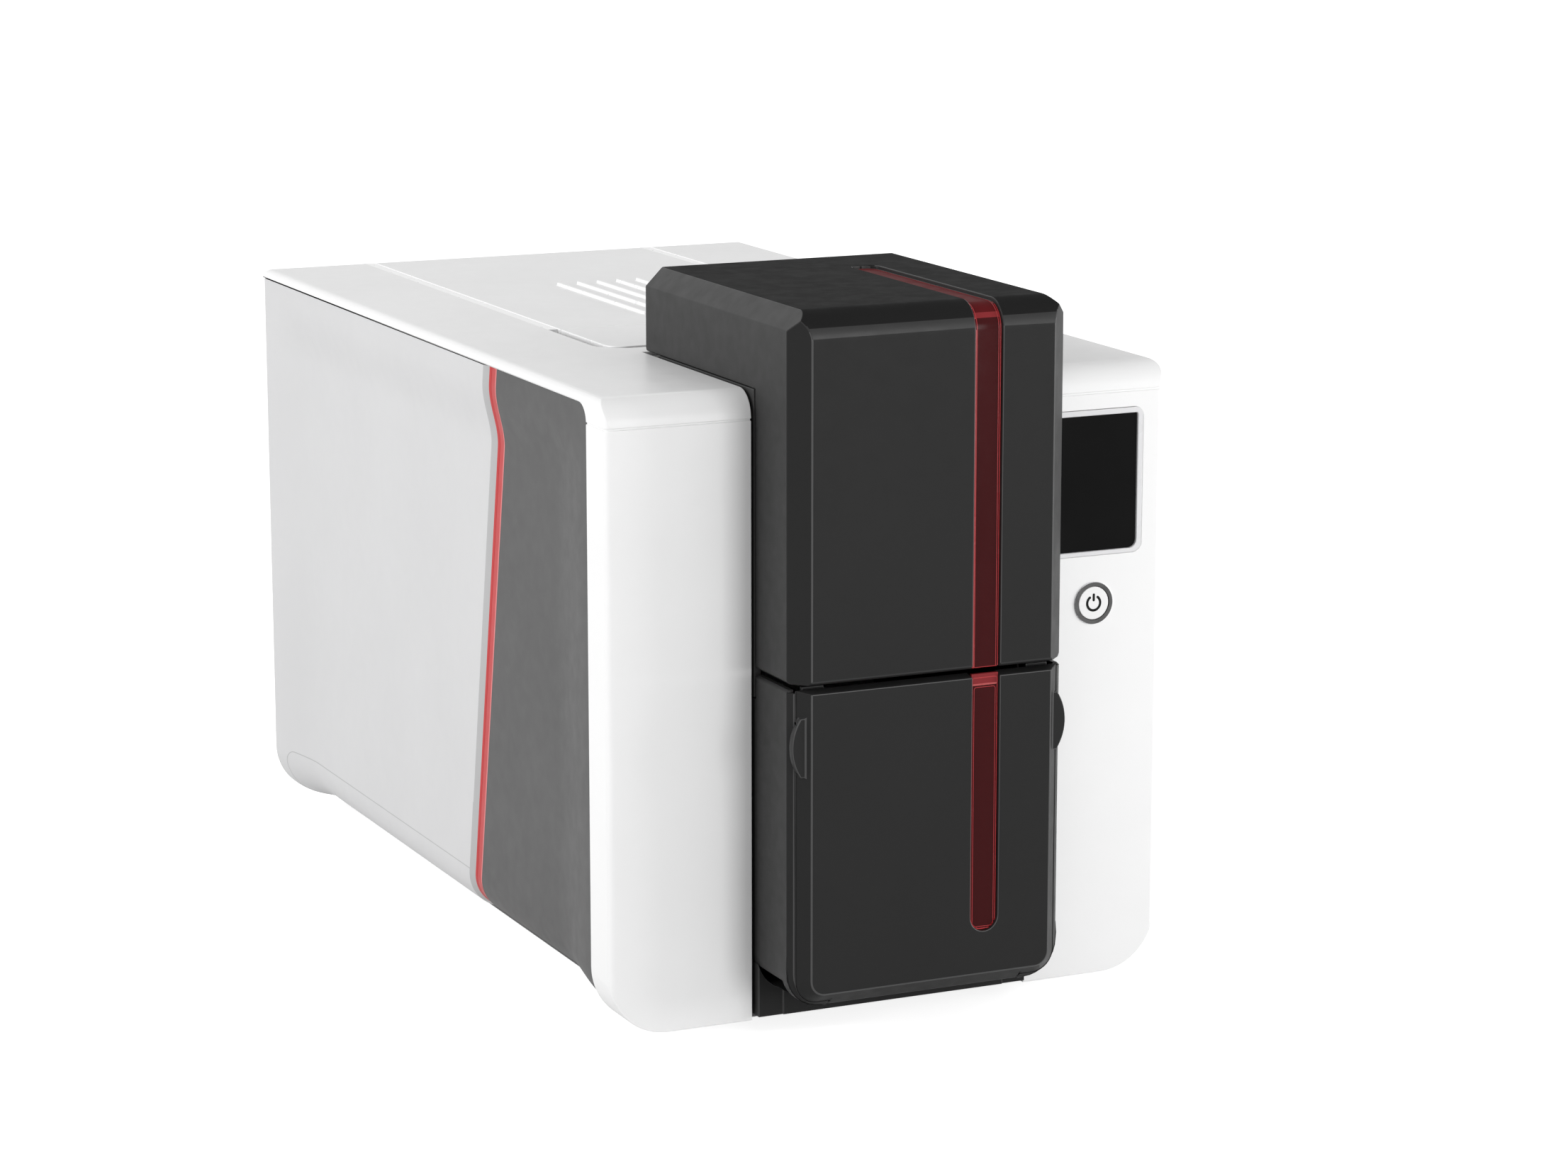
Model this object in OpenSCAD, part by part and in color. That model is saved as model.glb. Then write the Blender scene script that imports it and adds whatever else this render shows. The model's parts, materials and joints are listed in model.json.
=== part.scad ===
// Desktop card printer: white covers on a steel frame, with a black card tower in front.
// X is the width, Y the depth (the tower is at -Y), Z is up. Millimetres.
// Inside the modules y = 0 is the front face of the white body and z = 0 is its underside.

/* [Body] */
// Width over the white covers
body_w = 205; // [200:1:225]
// Depth of the body, front face to rear panel
body_d = 350; // [346:1:380]
// Height of the body without its feet
body_h = 213; // [210:1:225]
// Height of the rubber feet
foot_h = 5; // [4:1:10]
// Radius of the rubber feet
foot_r = 8; // [6:1:10]
// Wall of the moulded covers
wall = 2.5; // [2:0.1:3]
// Visible seam between two covers
seam = 0.5; // [0.4:0.1:0.8]
// Radius of the lower outer corners
corner_r = 21; // [18:1:26]
// Rounding of the top edge at the front
nose_r = 9; // [6:1:12]
// Rounding of the long top edges
edge_r = 3; // [1:0.5:4]
// Rounding of the upright front edges
front_edge_r = 2.2; // [1:0.2:3]
// Height of the cap above the front fascias
cap_h = 9.8; // [9:0.2:12]
// Depth of the fascia's band along the side
band_d = 16.2; // [14:0.2:18]

/* [Side panels] */
// Step from the fascia's side to the rim of the dark side panel
rim_step = 1.5; // [1:0.1:2]
// How far the light side panel stands proud of the dark one
light_proud = 0.8; // [0.4:0.1:1]
// Depth of the dished middle of a side panel
dish = 4.5; // [2:0.5:6]
// Width of the front slope of the dish
front_ramp = 40; // [20:1:50]
// Width of the rear slope of the dish
rear_ramp = 38; // [20:1:50]
// Height of the upper slope of the dish
top_ramp = 22; // [15:1:30]
// Width of the coloured stripe
stripe_w = 5.6; // [4:0.2:8]
// Where the stripe starts at the top, behind the front face
stripe_y = 99.5; // [80:0.5:140]
// How far the stripe runs back per millimetre of height
stripe_slope = 0.178; // [0:0.002:0.3]

/* [Lid] */
// Width of the lid
lid_w = 114; // [110:1:120]
// Width of the groove round the lid
groove_w = 4; // [3:0.5:5]
// Front edge of the release plate, behind the front face
release_y = 105; // [103:0.5:107]
// Seam between release plate and lid, behind the front face
lid_y = 151; // [149:0.5:155]
// Number of ribs on the lid
rib_count = 5; // [3:1:7]
// Distance between the ribs
rib_pitch = 8.1; // [6:0.1:10]
// Length of a rib
rib_len = 83; // [60:1:100]
// Travel of the release plate
release_travel = 1.5; // [1:0.5:2.5]

/* [Tower] */
// Width of the card tower
tower_w = 100; // [98:1:104]
// How far the tower stands out in front of the body
tower_out = 31; // [30:1:36]
// Depth of the tower behind the front face
tower_in = 90; // [89:0.5:92]
// Height of the tower above the top of the body
tower_up = 29; // [26:1:34]
// Bevel on the tower's edges
bevel = 6.2; // [4:0.2:8]
// Rounding of the tower's front top edge
hood_r = 9.5; // [7:0.5:12]
// Underside of the hood
hood_z = 120.4; // [120:0.1:122]
// Gap between hood and door
split = 1.9; // [1.7:0.1:3]
// Underside of the card hopper
hopper_z = 10.8; // [10:0.2:12]
// Underside of the black strip below the hopper
strip_z = 1.7; // [0.5:0.1:3]
// Corner radius of the card hopper
hopper_r = 12; // [10:1:14]
// Corner radius of the door's flat front
door_r = 5; // [3:1:7]
// Bevel along the door's top edge
door_edge = 0.9; // [0.6:0.1:1.5]
// Height of the bevel along the door's bottom
chin = 5.2; // [4:0.2:6]
// Width of the window slots
window_w = 10; // [8:0.5:12]
// Middle of the window slots
window_x = 19.6; // [15:0.2:22]
// Rear end of the window on top of the hood
window_back = 65; // [50:1:70]
// Lower end of the window in the door
window_low = 30.7; // [28:0.1:40]

/* [Controls] */
// Distance from the tower's slot to the touch screen's glass
screen_in = 5.6; // [5:0.1:8]
// Distance from the body's side to the glass
screen_out = 9.9; // [9:0.1:12]
// Height of the touch screen's glass
screen_h = 46; // [40:1:50]
// Middle of the screen, below the cap's seam
screen_drop = 30.5; // [30:0.1:37]
// Radius of the power button
button_r = 5.7; // [5:0.1:6]
// Middle of the power button, off the middle of its fascia
button_shift = -0.4; // [-3:0.1:3]
// Middle of the power button, below the cap's seam
button_drop = 72; // [70:0.5:77]
// Travel of the power button
button_travel = 1; // [0.5:0.1:1.5]

/* [Card path] */
// Length of a card
card_l = 86; // [80:1:88]
// Width of a card
card_w = 54; // [50:1:56]
// Radius of the transport rollers
roller_r = 6; // [5:0.5:6.5]
// Radius of the driven shafts
shaft_r = 3; // [2.5:0.1:3.5]
// Radius of the small shafts and hinge pins
pin_r = 1.3; // [1.1:0.1:1.5]
// Gear module
gear_m = 1; // [0.8:0.05:1]
// Teeth of a roller gear
roller_teeth = 24; // [24:1:24]
// Teeth of an idler gear
idler_teeth = 60; // [60:1:60]
// Teeth of the motor pinions
pinion_teeth = 15; // [15:1:15]
// Teeth of the ribbon gear
ribbon_teeth = 57; // [57:1:57]
// Width of the gears
gear_w = 6; // [4:0.5:7]
// Radius of a full ribbon roll
ribbon_r = 19; // [14:0.5:20]

/* [Hidden] */
$fn = 48;

// ---- colours ----
white = [0.93, 0.93, 0.94];
light_grey = [0.80, 0.80, 0.82];
dark_grey = [0.38, 0.38, 0.39];
black = [0.16, 0.16, 0.17];
red = [0.83, 0.25, 0.27];
window_red = [0.42, 0.10, 0.11];
steel = [0.68, 0.69, 0.71];
rubber = [0.20, 0.20, 0.21];
nylon = [0.88, 0.86, 0.80];
board_green = [0.13, 0.33, 0.22];

// ---- clearances ----
run = 0.05;    // radius clearance of a turning shaft
slip = 0.3;    // gap between parts that pass or seat on each other
eps = 0.01;    // overlap of solids inside one part

// ---- places worked out from the sizes above ----
half_w = body_w / 2;
body_y = -(body_d + tower_out) / 2 + tower_out;   // the front face in the object's frame
cap_z = body_h - cap_h;                           // seam under the front cap
skirt_h = 3.4;                                    // white strip above a side panel
skirt_z = body_h - skirt_h;
panel_y = band_d + seam;                          // front edge of a side panel
panel_top = skirt_z - seam;
lid_half = lid_w / 2;
well_half = lid_half + groove_w;                  // half width of the well that holds the lid
well_y = release_y - groove_w;
lid_t = wall;
lid_low = body_h - lid_t;                         // underside of the lid's skin
ledge_in = 4;                                     // how far the ledge reaches under the lid
ledge_top = lid_low - slip;
press_top = ledge_top - release_travel;           // lower part of the ledge, under the release plate
ledge_low = press_top - 2.2;
lid_hinge_r = 4;
lid_axis_y = body_d - lid_hinge_r;
lid_axis_z = body_h - lid_hinge_r;
tray_t = 3;
plate_t = 2;                                      // steel of the inner frame
plate_x = well_half + 1;                          // inner face of the steel frame
plate_top = body_h - 12;
panel_in = half_w - corner_r;                     // where the panels' rolled lower edge ends
skirt_fillet = 6;                                 // round corner of the skirt at the front
// tower
tower_half = tower_w / 2;
slot_half = tower_half + 1;                       // half width of the body's slot for the tower
tower_top = body_h + tower_up;
hood_low_back = body_h + seam;                    // underside of the hood above the body
hood_hinge_r = 4;
hood_axis_y = tower_in - hood_hinge_r;
hood_axis_z = hood_low_back + hood_hinge_r;
door_top = hood_z - split;
door_seam = tower_out - 4.1;                      // seam between door and hopper
lip = bevel - 4.1;                                // part of the bevel that is on the hopper
door_knuckle_r = pin_r + 1.2;
door_axis_y = -door_seam + 3;                     // low in the hopper's lip, so the door clears it
door_axis_z = hopper_z + 2.7;
tongue_half = 35;                                 // half width of the door's hinge tongue
// card path
floor_z = hood_z + 1.6;                           // underside of the feeder's floor
floor_t = 2.4;
card_z = floor_z + floor_t + 0.6;                 // middle of a card
shaft_z = card_z - 0.4 - roller_r;
bay_half = card_w / 2 + 0.6;                      // half width of the card magazine
magazine_t = 2.4;                                 // wall of the card magazine
mag_front = -(tower_out - 7);
mag_back = mag_front + card_l + 4;
roller_gear_r = gear_m * roller_teeth / 2;
idler_r = gear_m * idler_teeth / 2;
pinion_r = gear_m * pinion_teeth / 2;
ribbon_gear_r = gear_m * ribbon_teeth / 2;
roller_pitch = 2 * (roller_gear_r + idler_r);     // distance between driven rollers
pick_y = 40;
feed_y = pick_y + roller_pitch;
platen_y = feed_y + roller_pitch;
exit_y = platen_y + roller_pitch;
gear_x = -(plate_x + plate_t + 6 + gear_w);       // outer face of the gears
gear_out = gear_x - 2;                            // outer end of the shafts
sleeve_half = card_w / 2 + 3;
drive_y = (feed_y + platen_y) / 2;
drive_z = shaft_z - idler_r - pinion_r;
pinch_r = 5;
pinch_shaft_r = 2;
pinch_z = card_z + 0.5 + pinch_r;
clean_y = 104;
clean_z = card_z + 0.5 + roller_r;
spool_z = plate_top - 30;
takeup_y = 140;
supply_y = 264;
spool_shaft_r = 4;
core_r = 9;
flange_r = ribbon_r + 2;
takeup_r = 12;
ribbon_y = takeup_y - ribbon_gear_r - pinion_r;
stem_y = 128;
stem_x = 40;
stem_r = 3;
feet_x = 50;
feet_in = 42;
feet_y = [feet_in, body_d - feet_in + foot_r - 2];
// controls
screen_rim = 2;      // pale frame round the glass
ring_r = 7;
screen_w = half_w - screen_out - slot_half - screen_in;
screen_x = slot_half + screen_in + screen_w / 2;
screen_z = cap_z - screen_drop;
button_x = (slot_half + half_w) / 2 + button_shift;
button_z = cap_z - button_drop;

// ---- helpers ----
module at_body() translate([0, body_y, foot_h]) children();
module both_sides() {
    children();
    mirror([1, 0, 0]) children();
}
module both_sides_2d() {
    children();
    mirror([1, 0]) children();
}
// an outline drawn in X and Z, pushed along Y
module along_y(y0, y1) translate([0, y1, 0]) rotate([90, 0, 0]) linear_extrude(y1 - y0) children();
// an outline drawn in Y and Z, pushed along X
module along_x(x0, x1) translate([x0, 0, 0]) rotate([90, 0, 90]) linear_extrude(x1 - x0) children();
// an outline drawn in X and Y, pushed along Z
module along_z(z0, z1) translate([0, 0, z0]) linear_extrude(z1 - z0) children();
// what a rounding takes off a corner at the origin whose sides run along +X and +Y
module corner_cut(r) difference() {
    translate([-eps, -eps]) square(r + eps);
    translate([r, r]) circle(r);
}
module rod_x(x0, x1, r, y, z) translate([x0, y, z]) rotate([0, 90, 0]) cylinder(h = x1 - x0, r = r);
module rod_y(y0, y1, r, x, z) translate([x, y0, z]) rotate([-90, 0, 0]) cylinder(h = y1 - y0, r = r);
module block(x0, x1, y0, y1, z0, z1) translate([x0, y0, z0]) cube([x1 - x0, y1 - y0, z1 - z0]);
// rectangle with four round corners
module round_rect(x0, x1, y0, y1, r) {
    translate([x0 + r, y0]) square([x1 - x0 - 2 * r, y1 - y0]);
    translate([x0, y0 + r]) square([x1 - x0, y1 - y0 - 2 * r]);
    for (x = [x0 + r, x1 - r], y = [y0 + r, y1 - r]) translate([x, y]) circle(r);
}

// ---- white covers ----
// front view of the body's upper half, o inside the outer skin
module cover_front_view(o) difference() {
    translate([-half_w + o, cap_z - 1]) square([body_w - 2 * o, cap_h + 1 - o]);
    for (s = [0, 1]) mirror([s, 0]) translate([half_w - o, body_h - o]) rotate(180)
        corner_cut(max(edge_r - o, 0.4));
}
// side view of the same, with the round nose at the front and the hinge's rounding at the rear
module cover_side_view(o) difference() {
    translate([o, cap_z - 1]) square([body_d - 2 * o, cap_h + 1 - o]);
    translate([o, body_h - o]) mirror([0, 1]) corner_cut(nose_r - o);
    translate([body_d - o, body_h - o]) rotate(180) corner_cut(max(lid_hinge_r - o, 0.4));
}
// plan of the body with its rounded front corners
module body_plan(o) difference() {
    translate([-half_w + o, o]) square([body_w - 2 * o, body_d - 2 * o]);
    for (s = [0, 1]) mirror([s, 0]) translate([-half_w + o, o]) corner_cut(max(front_edge_r - o, 0.4));
}
module cover_form(o, low) intersection() {
    along_y(o, body_d - o) cover_front_view(o);
    along_x(-half_w, half_w) cover_side_view(o);
    along_z(low, body_h) body_plan(o);
}
// plan of the well for lid and release plate, grown by g, ending at the rear at y = back
module well_plan(g, back) difference() {
    translate([-well_half - g, well_y - g]) square([2 * (well_half + g), back - well_y + g]);
    for (s = [0, 1]) mirror([s, 0]) translate([-well_half - g, well_y - g]) corner_cut(11 + g);
}

module top_cover() at_body() color(white) difference() {
    union() {
        difference() {
            cover_form(0, cap_z + seam);
            cover_form(wall, cap_z - 1);
            // the side panels and the rear panel stand below the short skirt
            along_x(-half_w - 1, half_w + 1) difference() {
                translate([panel_y - seam, cap_z - 1]) square([body_d, skirt_z - cap_z + 1]);
                translate([panel_y - seam, skirt_z]) mirror([0, 1]) corner_cut(skirt_fillet);
            }
            along_z(cap_z, body_h + 1) well_plan(0, body_d + 1);
        }
        // step and ledge round the lid's well
        difference() {
            along_z(ledge_low, lid_low + eps) well_plan(2, lid_axis_y - 8);
            along_z(ledge_top, body_h) well_plan(0, body_d);
            along_z(ledge_low - 1, body_h) difference() {
                well_plan(-groove_w - ledge_in, body_d);
                translate([-well_half, lid_y - 5]) square([2 * well_half, 10]);
            }
            along_z(press_top, body_h) translate([-lid_half - seam, well_y])
                square([lid_w + 2 * seam, lid_y - well_y]);
        }
        // ribs that stand on the steel frame, and the lugs of the lid's hinge pin
        both_sides() {
            block(plate_x, plate_x + plate_t, well_y + 9, lid_axis_y - 20, plate_top, lid_low + eps);
            block(well_half + 0.3, well_half + 6, lid_axis_y - 4.5, body_d - wall - eps,
                lid_axis_z - lid_hinge_r, lid_low + eps);
        }
    }
    // slot for the tower
    block(-slot_half, slot_half, -1, tower_in + seam + 0.5, cap_z - 1, body_h + 1);
    rod_x(-well_half - 5, well_half + 5, pin_r, lid_axis_y, lid_axis_z);
}

// front view of the left fascia, o inside the outer skin
module fascia_view(o) difference() {
    translate([-half_w + o, o]) square([half_w - slot_half - 2 * o, cap_z - o]);
    translate([-half_w + o, o]) corner_cut(corner_r - o);
}
module fascia_shell() difference() {
    intersection() {
        along_y(0, band_d) fascia_view(0);
        along_z(0, cap_z) body_plan(0);
    }
    intersection() {
        along_y(wall, band_d + 1) fascia_view(wall);
        along_z(-1, cap_z + 1) body_plan(wall);
    }
}
module fascia_left() at_body() color(white) fascia_shell();

module fascia_right() at_body() color(white) difference() {
    mirror([1, 0, 0]) fascia_shell();
    along_y(-1, wall + 1) round_rect(screen_x - screen_w / 2 - screen_rim - 0.1,
        screen_x + screen_w / 2 + screen_rim + 0.1,
        screen_z - screen_h / 2 - screen_rim - 0.1, screen_z + screen_h / 2 + screen_rim + 0.1, 3.6);
    rod_y(-1, wall + 1, ring_r + 0.1, button_x, button_z);
}

// ---- sculpted side panels ----
// A panel is a grid of points over its height (i) and its length (j). Its middle is dished by
// "dish" below the rim, with smooth slopes to the rim at the front, the top and the rear, and
// its lower edge rolls under the body. The stripe is a shallow V, sunk between the dark panel and
// a sloping border of the light panel, which stands a little proud of the dark one.
function smooth(a, b, v) = let (t = max(0, min(1, (v - a) / (b - a)))) t * t * (3 - 2 * t);
valley = 1.6;        // depth of the stripe's middle below the light panel
valley_end = 1.3;    // depth of its rear edge
valley_w = 4.7;      // width of the light panel's sloping border
rim_x = half_w - rim_step + light_proud;
roll_r = corner_r - rim_step + light_proud;
roll_steps = 6;
rim_w = 2;           // flat rim in front of and behind the dish
panel_rows = concat(
    [for (i = [0 : 3]) panel_top - i * 2],
    [for (i = [0 : 6]) panel_top - 7 - i * top_ramp / 6],
    [for (i = [1 : 3]) panel_top - 7 - top_ramp - i * (panel_top - 7 - top_ramp - corner_r) / 3],
    [for (i = [1 : roll_steps]) corner_r - i]);
first_roll = len(panel_rows) - roll_steps;
function roll_angle(i) = max(0, i - first_roll + 1) * 88 / roll_steps;
function row_z(i) = i < first_roll ? panel_rows[i] : corner_r - (roll_r - dish) * sin(roll_angle(i));
function lerp(a, b, t) = a + (b - a) * t;
function stripe_at(z) = stripe_y + stripe_slope * (panel_top - z);
function dish_at(y, z) = dish * smooth(panel_top - 6, panel_top - 7 - top_ramp, z)
    * smooth(panel_y + rim_w, panel_y + rim_w + front_ramp, y)
    * (1 - smooth(body_d - rim_w - rear_ramp, body_d - rim_w, y));
function valley_at(y, z) = let (u = y - stripe_at(z), m = stripe_w / 2)
    u <= 0 ? light_proud
    : u < m ? lerp(light_proud, valley, u / m)
    : u < stripe_w ? lerp(valley, valley_end, (u - m) / m)
    : valley_end * max(0, 1 - (u - stripe_w) / valley_w);
function skin_point(i, y, o) = let (
        z = row_z(i),
        d = dish_at(y, z) + valley_at(y, z) + o,
        a = roll_angle(i))
    i < first_roll ? [-(rim_x - d), y, z]
                   : [-(panel_in + (roll_r - d) * cos(a)), y, corner_r - (roll_r - d) * sin(a)];
// y_of gives the y of point j in row i
module skin(cols, y_of) {
    rows = len(panel_rows);
    n = cols + 1;
    outer = [for (i = [0 : rows - 1], j = [0 : cols]) skin_point(i, y_of(i, j), 0)];
    inner = [for (i = [0 : rows - 1], j = [0 : cols]) skin_point(i, y_of(i, j), wall)];
    m = rows * n;
    faces = concat(
        [for (i = [0 : rows - 2], j = [0 : cols - 1]) each let (a = i * n + j)
            [[a, a + 1, a + n + 1], [a, a + n + 1, a + n]]],
        [for (i = [0 : rows - 2], j = [0 : cols - 1]) each let (a = m + i * n + j)
            [[a, a + n + 1, a + 1], [a, a + n, a + n + 1]]],
        [for (j = [0 : cols - 1]) each let (a = j) [[a, a + m, a + m + 1], [a, a + m + 1, a + 1]]],
        [for (j = [0 : cols - 1]) each let (a = (rows - 1) * n + j) [[a, a + m + 1, a + m],
            [a, a + 1, a + m + 1]]],
        [for (i = [0 : rows - 2]) each let (a = i * n) [[a, a + n + m, a + m], [a, a + n, a + n + m]]],
        [for (i = [0 : rows - 2]) each let (a = i * n + cols) [[a, a + m, a + n + m],
            [a, a + n + m, a + n]]]);
    polyhedron(points = concat(outer, inner), faces = faces, convexity = 6);
}
// a slope has its columns evenly, from the rim's start; the rest of a panel needs none
ramp_cols = 9;
function front_y(i, j) = j > ramp_cols ? stripe_at(row_z(i)) - slip / 3
    : panel_y + rim_w * min(j, 1) + front_ramp * max(0, j - 1) / (ramp_cols - 1);
function rear_y(i, j) = let (a = stripe_at(row_z(i)) + stripe_w)
    j == 0 ? a + slip / 3 : j == 1 ? a + valley_w
    : j > ramp_cols + 1 ? body_d : body_d - rim_w - rear_ramp * (ramp_cols + 1 - j) / (ramp_cols - 1);
module dark_skin() difference() {
    skin(ramp_cols + 1, function (i, j) front_y(i, j));
    along_x(-half_w, 0) translate([panel_y, panel_top]) mirror([0, 1]) corner_cut(skirt_fillet - seam);
}
module stripe_skin() skin(2, function (i, j) stripe_at(row_z(i)) + stripe_w * j / 2);
module light_skin() skin(ramp_cols + 2, function (i, j) rear_y(i, j));
module panel_left_front() at_body() color(dark_grey) dark_skin();
module stripe_left() at_body() color(red) stripe_skin();
module panel_left_rear() at_body() color(light_grey) light_skin();
module panel_right_front() at_body() color(dark_grey) mirror([1, 0, 0]) dark_skin();
module stripe_right() at_body() color(red) mirror([1, 0, 0]) stripe_skin();
module panel_right_rear() at_body() color(light_grey) mirror([1, 0, 0]) light_skin();

// ---- lid and release plate ----
rib_w = 2;
rib_h = 1.2;
module lid() at_body() color(white) difference() {
    union() {
        block(-lid_half, lid_half, lid_y + seam / 2, lid_axis_y, lid_low, body_h);
        rod_x(-lid_half, lid_half, lid_hinge_r, lid_axis_y, lid_axis_z);
        // ribs on top
        for (k = [0 : rib_count - 1])
            translate([(k - (rib_count - 1) / 2) * rib_pitch + 1.2, lid_y + 22, body_h - eps])
            linear_extrude(rib_h) {
                translate([-rib_w / 2, 0]) square([rib_w, rib_len]);
                for (y = [0, rib_len]) translate([0, y]) circle(rib_w / 2);
            }
        // stiffening skirts under the skin
        both_sides() block(lid_half - 9, lid_half - 7, lid_y + 12, lid_axis_y - 14, lid_low - 9,
            lid_low + eps);
    }
    rod_x(-lid_half - 1, lid_half + 1, pin_r + run, lid_axis_y, lid_axis_z);
}
module lid_pin() at_body() color(steel) rod_x(-well_half - 5, well_half + 5, pin_r, lid_axis_y, lid_axis_z);

carrier_half = lid_half - 12;
module head_carrier() at_body() color(black) {
    both_sides() block(carrier_half - 4, carrier_half, platen_y - 18, platen_y + 18, card_z + 14, lid_low);
    difference() {
        block(-carrier_half + 4 - eps, carrier_half - 4 + eps, platen_y - 10, platen_y + 10, card_z + 14,
            card_z + 34);
        block(-carrier_half + 8, carrier_half - 8, platen_y - 7, platen_y + 7, card_z + 18, card_z + 35);
    }
}
module print_head() at_body() color(steel) {
    block(-sleeve_half, sleeve_half, platen_y - 6, platen_y + 6, card_z + 4, card_z + 14);
    // glazed heater line above the platen
    block(-card_w / 2, card_w / 2, platen_y - 2, platen_y + 2, card_z + 1, card_z + 4 + eps);
}

module release_plate() at_body() color(white) {
    along_z(lid_low, body_h) difference() {
        translate([-lid_half, release_y]) square([lid_w, lid_y - seam / 2 - release_y]);
        for (s = [0, 1]) mirror([s, 0]) translate([-lid_half, release_y]) corner_cut(7);
    }
    both_sides() translate([stem_x, stem_y, plate_top - 9])
        cylinder(h = lid_low - plate_top + 9 + eps, r = stem_r);
}
module latch_bar() at_body() color(steel) difference() {
    block(-plate_x, plate_x, stem_y - 6, stem_y + 6, plate_top - 6, plate_top - 1);
    both_sides() translate([stem_x, stem_y, plate_top - 7]) cylinder(h = 7, r = stem_r + run);
}

// ---- card tower: hood ----
hood_chin = 1;       // small bevel along the hood's lower edge
module hood_front_view(o) polygon([
    [-tower_half + hood_chin, hood_z - 1], [-tower_half + hood_chin, hood_z],
    [-tower_half + o, hood_z + hood_chin],
    [-tower_half + o, tower_top - bevel - o * 0.41], [-tower_half + bevel + o * 0.41, tower_top - o],
    [tower_half - bevel - o * 0.41, tower_top - o], [tower_half - o, tower_top - bevel - o * 0.41],
    [tower_half - o, hood_z + hood_chin], [tower_half - hood_chin, hood_z],
    [tower_half - hood_chin, hood_z - 1]]);
module hood_side_view(o) difference() {
    past = o > 0 ? 1 : 0;        // the hollow runs out through the open underside
    union() {
        translate([-tower_out + o, hood_low_back - past])
            square([tower_out + tower_in - 2 * o, tower_top - o - hood_low_back + past]);
        translate([-tower_out + o, hood_z - past])
            square([tower_out - seam - o + past, hood_low_back - hood_z + 2]);
    }
    translate([-tower_out + o, tower_top - o]) mirror([0, 1]) corner_cut(hood_r - o);
    translate([-tower_out + o, hood_z])
        polygon([[-1, -2], [hood_chin, -2], [hood_chin, 0], [0, hood_chin], [-1, hood_chin]]);
    if (o == 0) translate([tower_in, hood_low_back]) rotate(90) corner_cut(hood_heel_r);
}
module tower_plan(o) polygon([
    [-tower_half + bevel + o * 0.41, -tower_out + o], [tower_half - bevel - o * 0.41, -tower_out + o],
    [tower_half - o, -tower_out + bevel + o * 0.41], [tower_half - o, tower_in - o],
    [-tower_half + o, tower_in - o], [-tower_half + o, -tower_out + bevel + o * 0.41]]);
module hood_form(o) intersection() {
    along_y(-tower_out - 1, tower_in + 1) hood_front_view(o);
    along_x(-tower_half, tower_half) hood_side_view(o);
    along_z(hood_z - 2, tower_top) tower_plan(o);
}
// slot of the window: up the front, over the rounding and back along the top
module hood_slot(g, depth) {
    intersection() {
        difference() {
            hood_form(0);
            hood_form(depth);
        }
        block(window_x - window_w / 2 - g, window_x + window_w / 2 + g,
            -tower_out - 1, window_back - window_w / 2, hood_z - 2, tower_top + 1);
    }
    translate([window_x, window_back - window_w / 2, tower_top - depth])
        cylinder(h = depth, r = window_w / 2 + g);
}
window_t = 1.3;      // thickness of the tinted windows
window_sunk = 1.2;   // how far they lie below the surface
hood_ear = 36;       // outer end of the hood's hinge knuckles
hood_heel_r = 1.2;   // rounding of the lower rear corner, which turns down past the feeder
module hood() at_body() color(black) difference() {
    union() {
        difference() {
            hood_form(0);
            hood_form(wall);
            // the rear wall stops above the hinge
            block(-tower_half + wall, tower_half - wall, tower_in - wall - 1, tower_in + 1,
                hood_low_back - 1, hood_axis_z + hood_hinge_r + 1.5);
        }
        both_sides() {
            rod_x(hood_ear - 8, hood_ear, hood_hinge_r, hood_axis_y, hood_axis_z);
            block(hood_ear - 8, hood_ear, hood_axis_y - 1, tower_in - eps, hood_axis_z,
                hood_axis_z + hood_hinge_r + 3);
        }
    }
    both_sides() rod_x(hood_ear - 9, hood_ear + 1, pin_r + run, hood_axis_y, hood_axis_z);
    hood_slot(0, wall + 0.1);
}
module hood_window() at_body() color(window_red) intersection() {
    hood_slot(-0.1, window_sunk + window_t);
    union() {
        hood_form(window_sunk);
        block(0, tower_half, -tower_out + window_sunk, tower_in, hood_z, hood_low_back + 1);
    }
}
module hood_pin() at_body() color(steel) rod_x(-hood_ear - 7, hood_ear + 7, pin_r, hood_axis_y, hood_axis_z);

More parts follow.
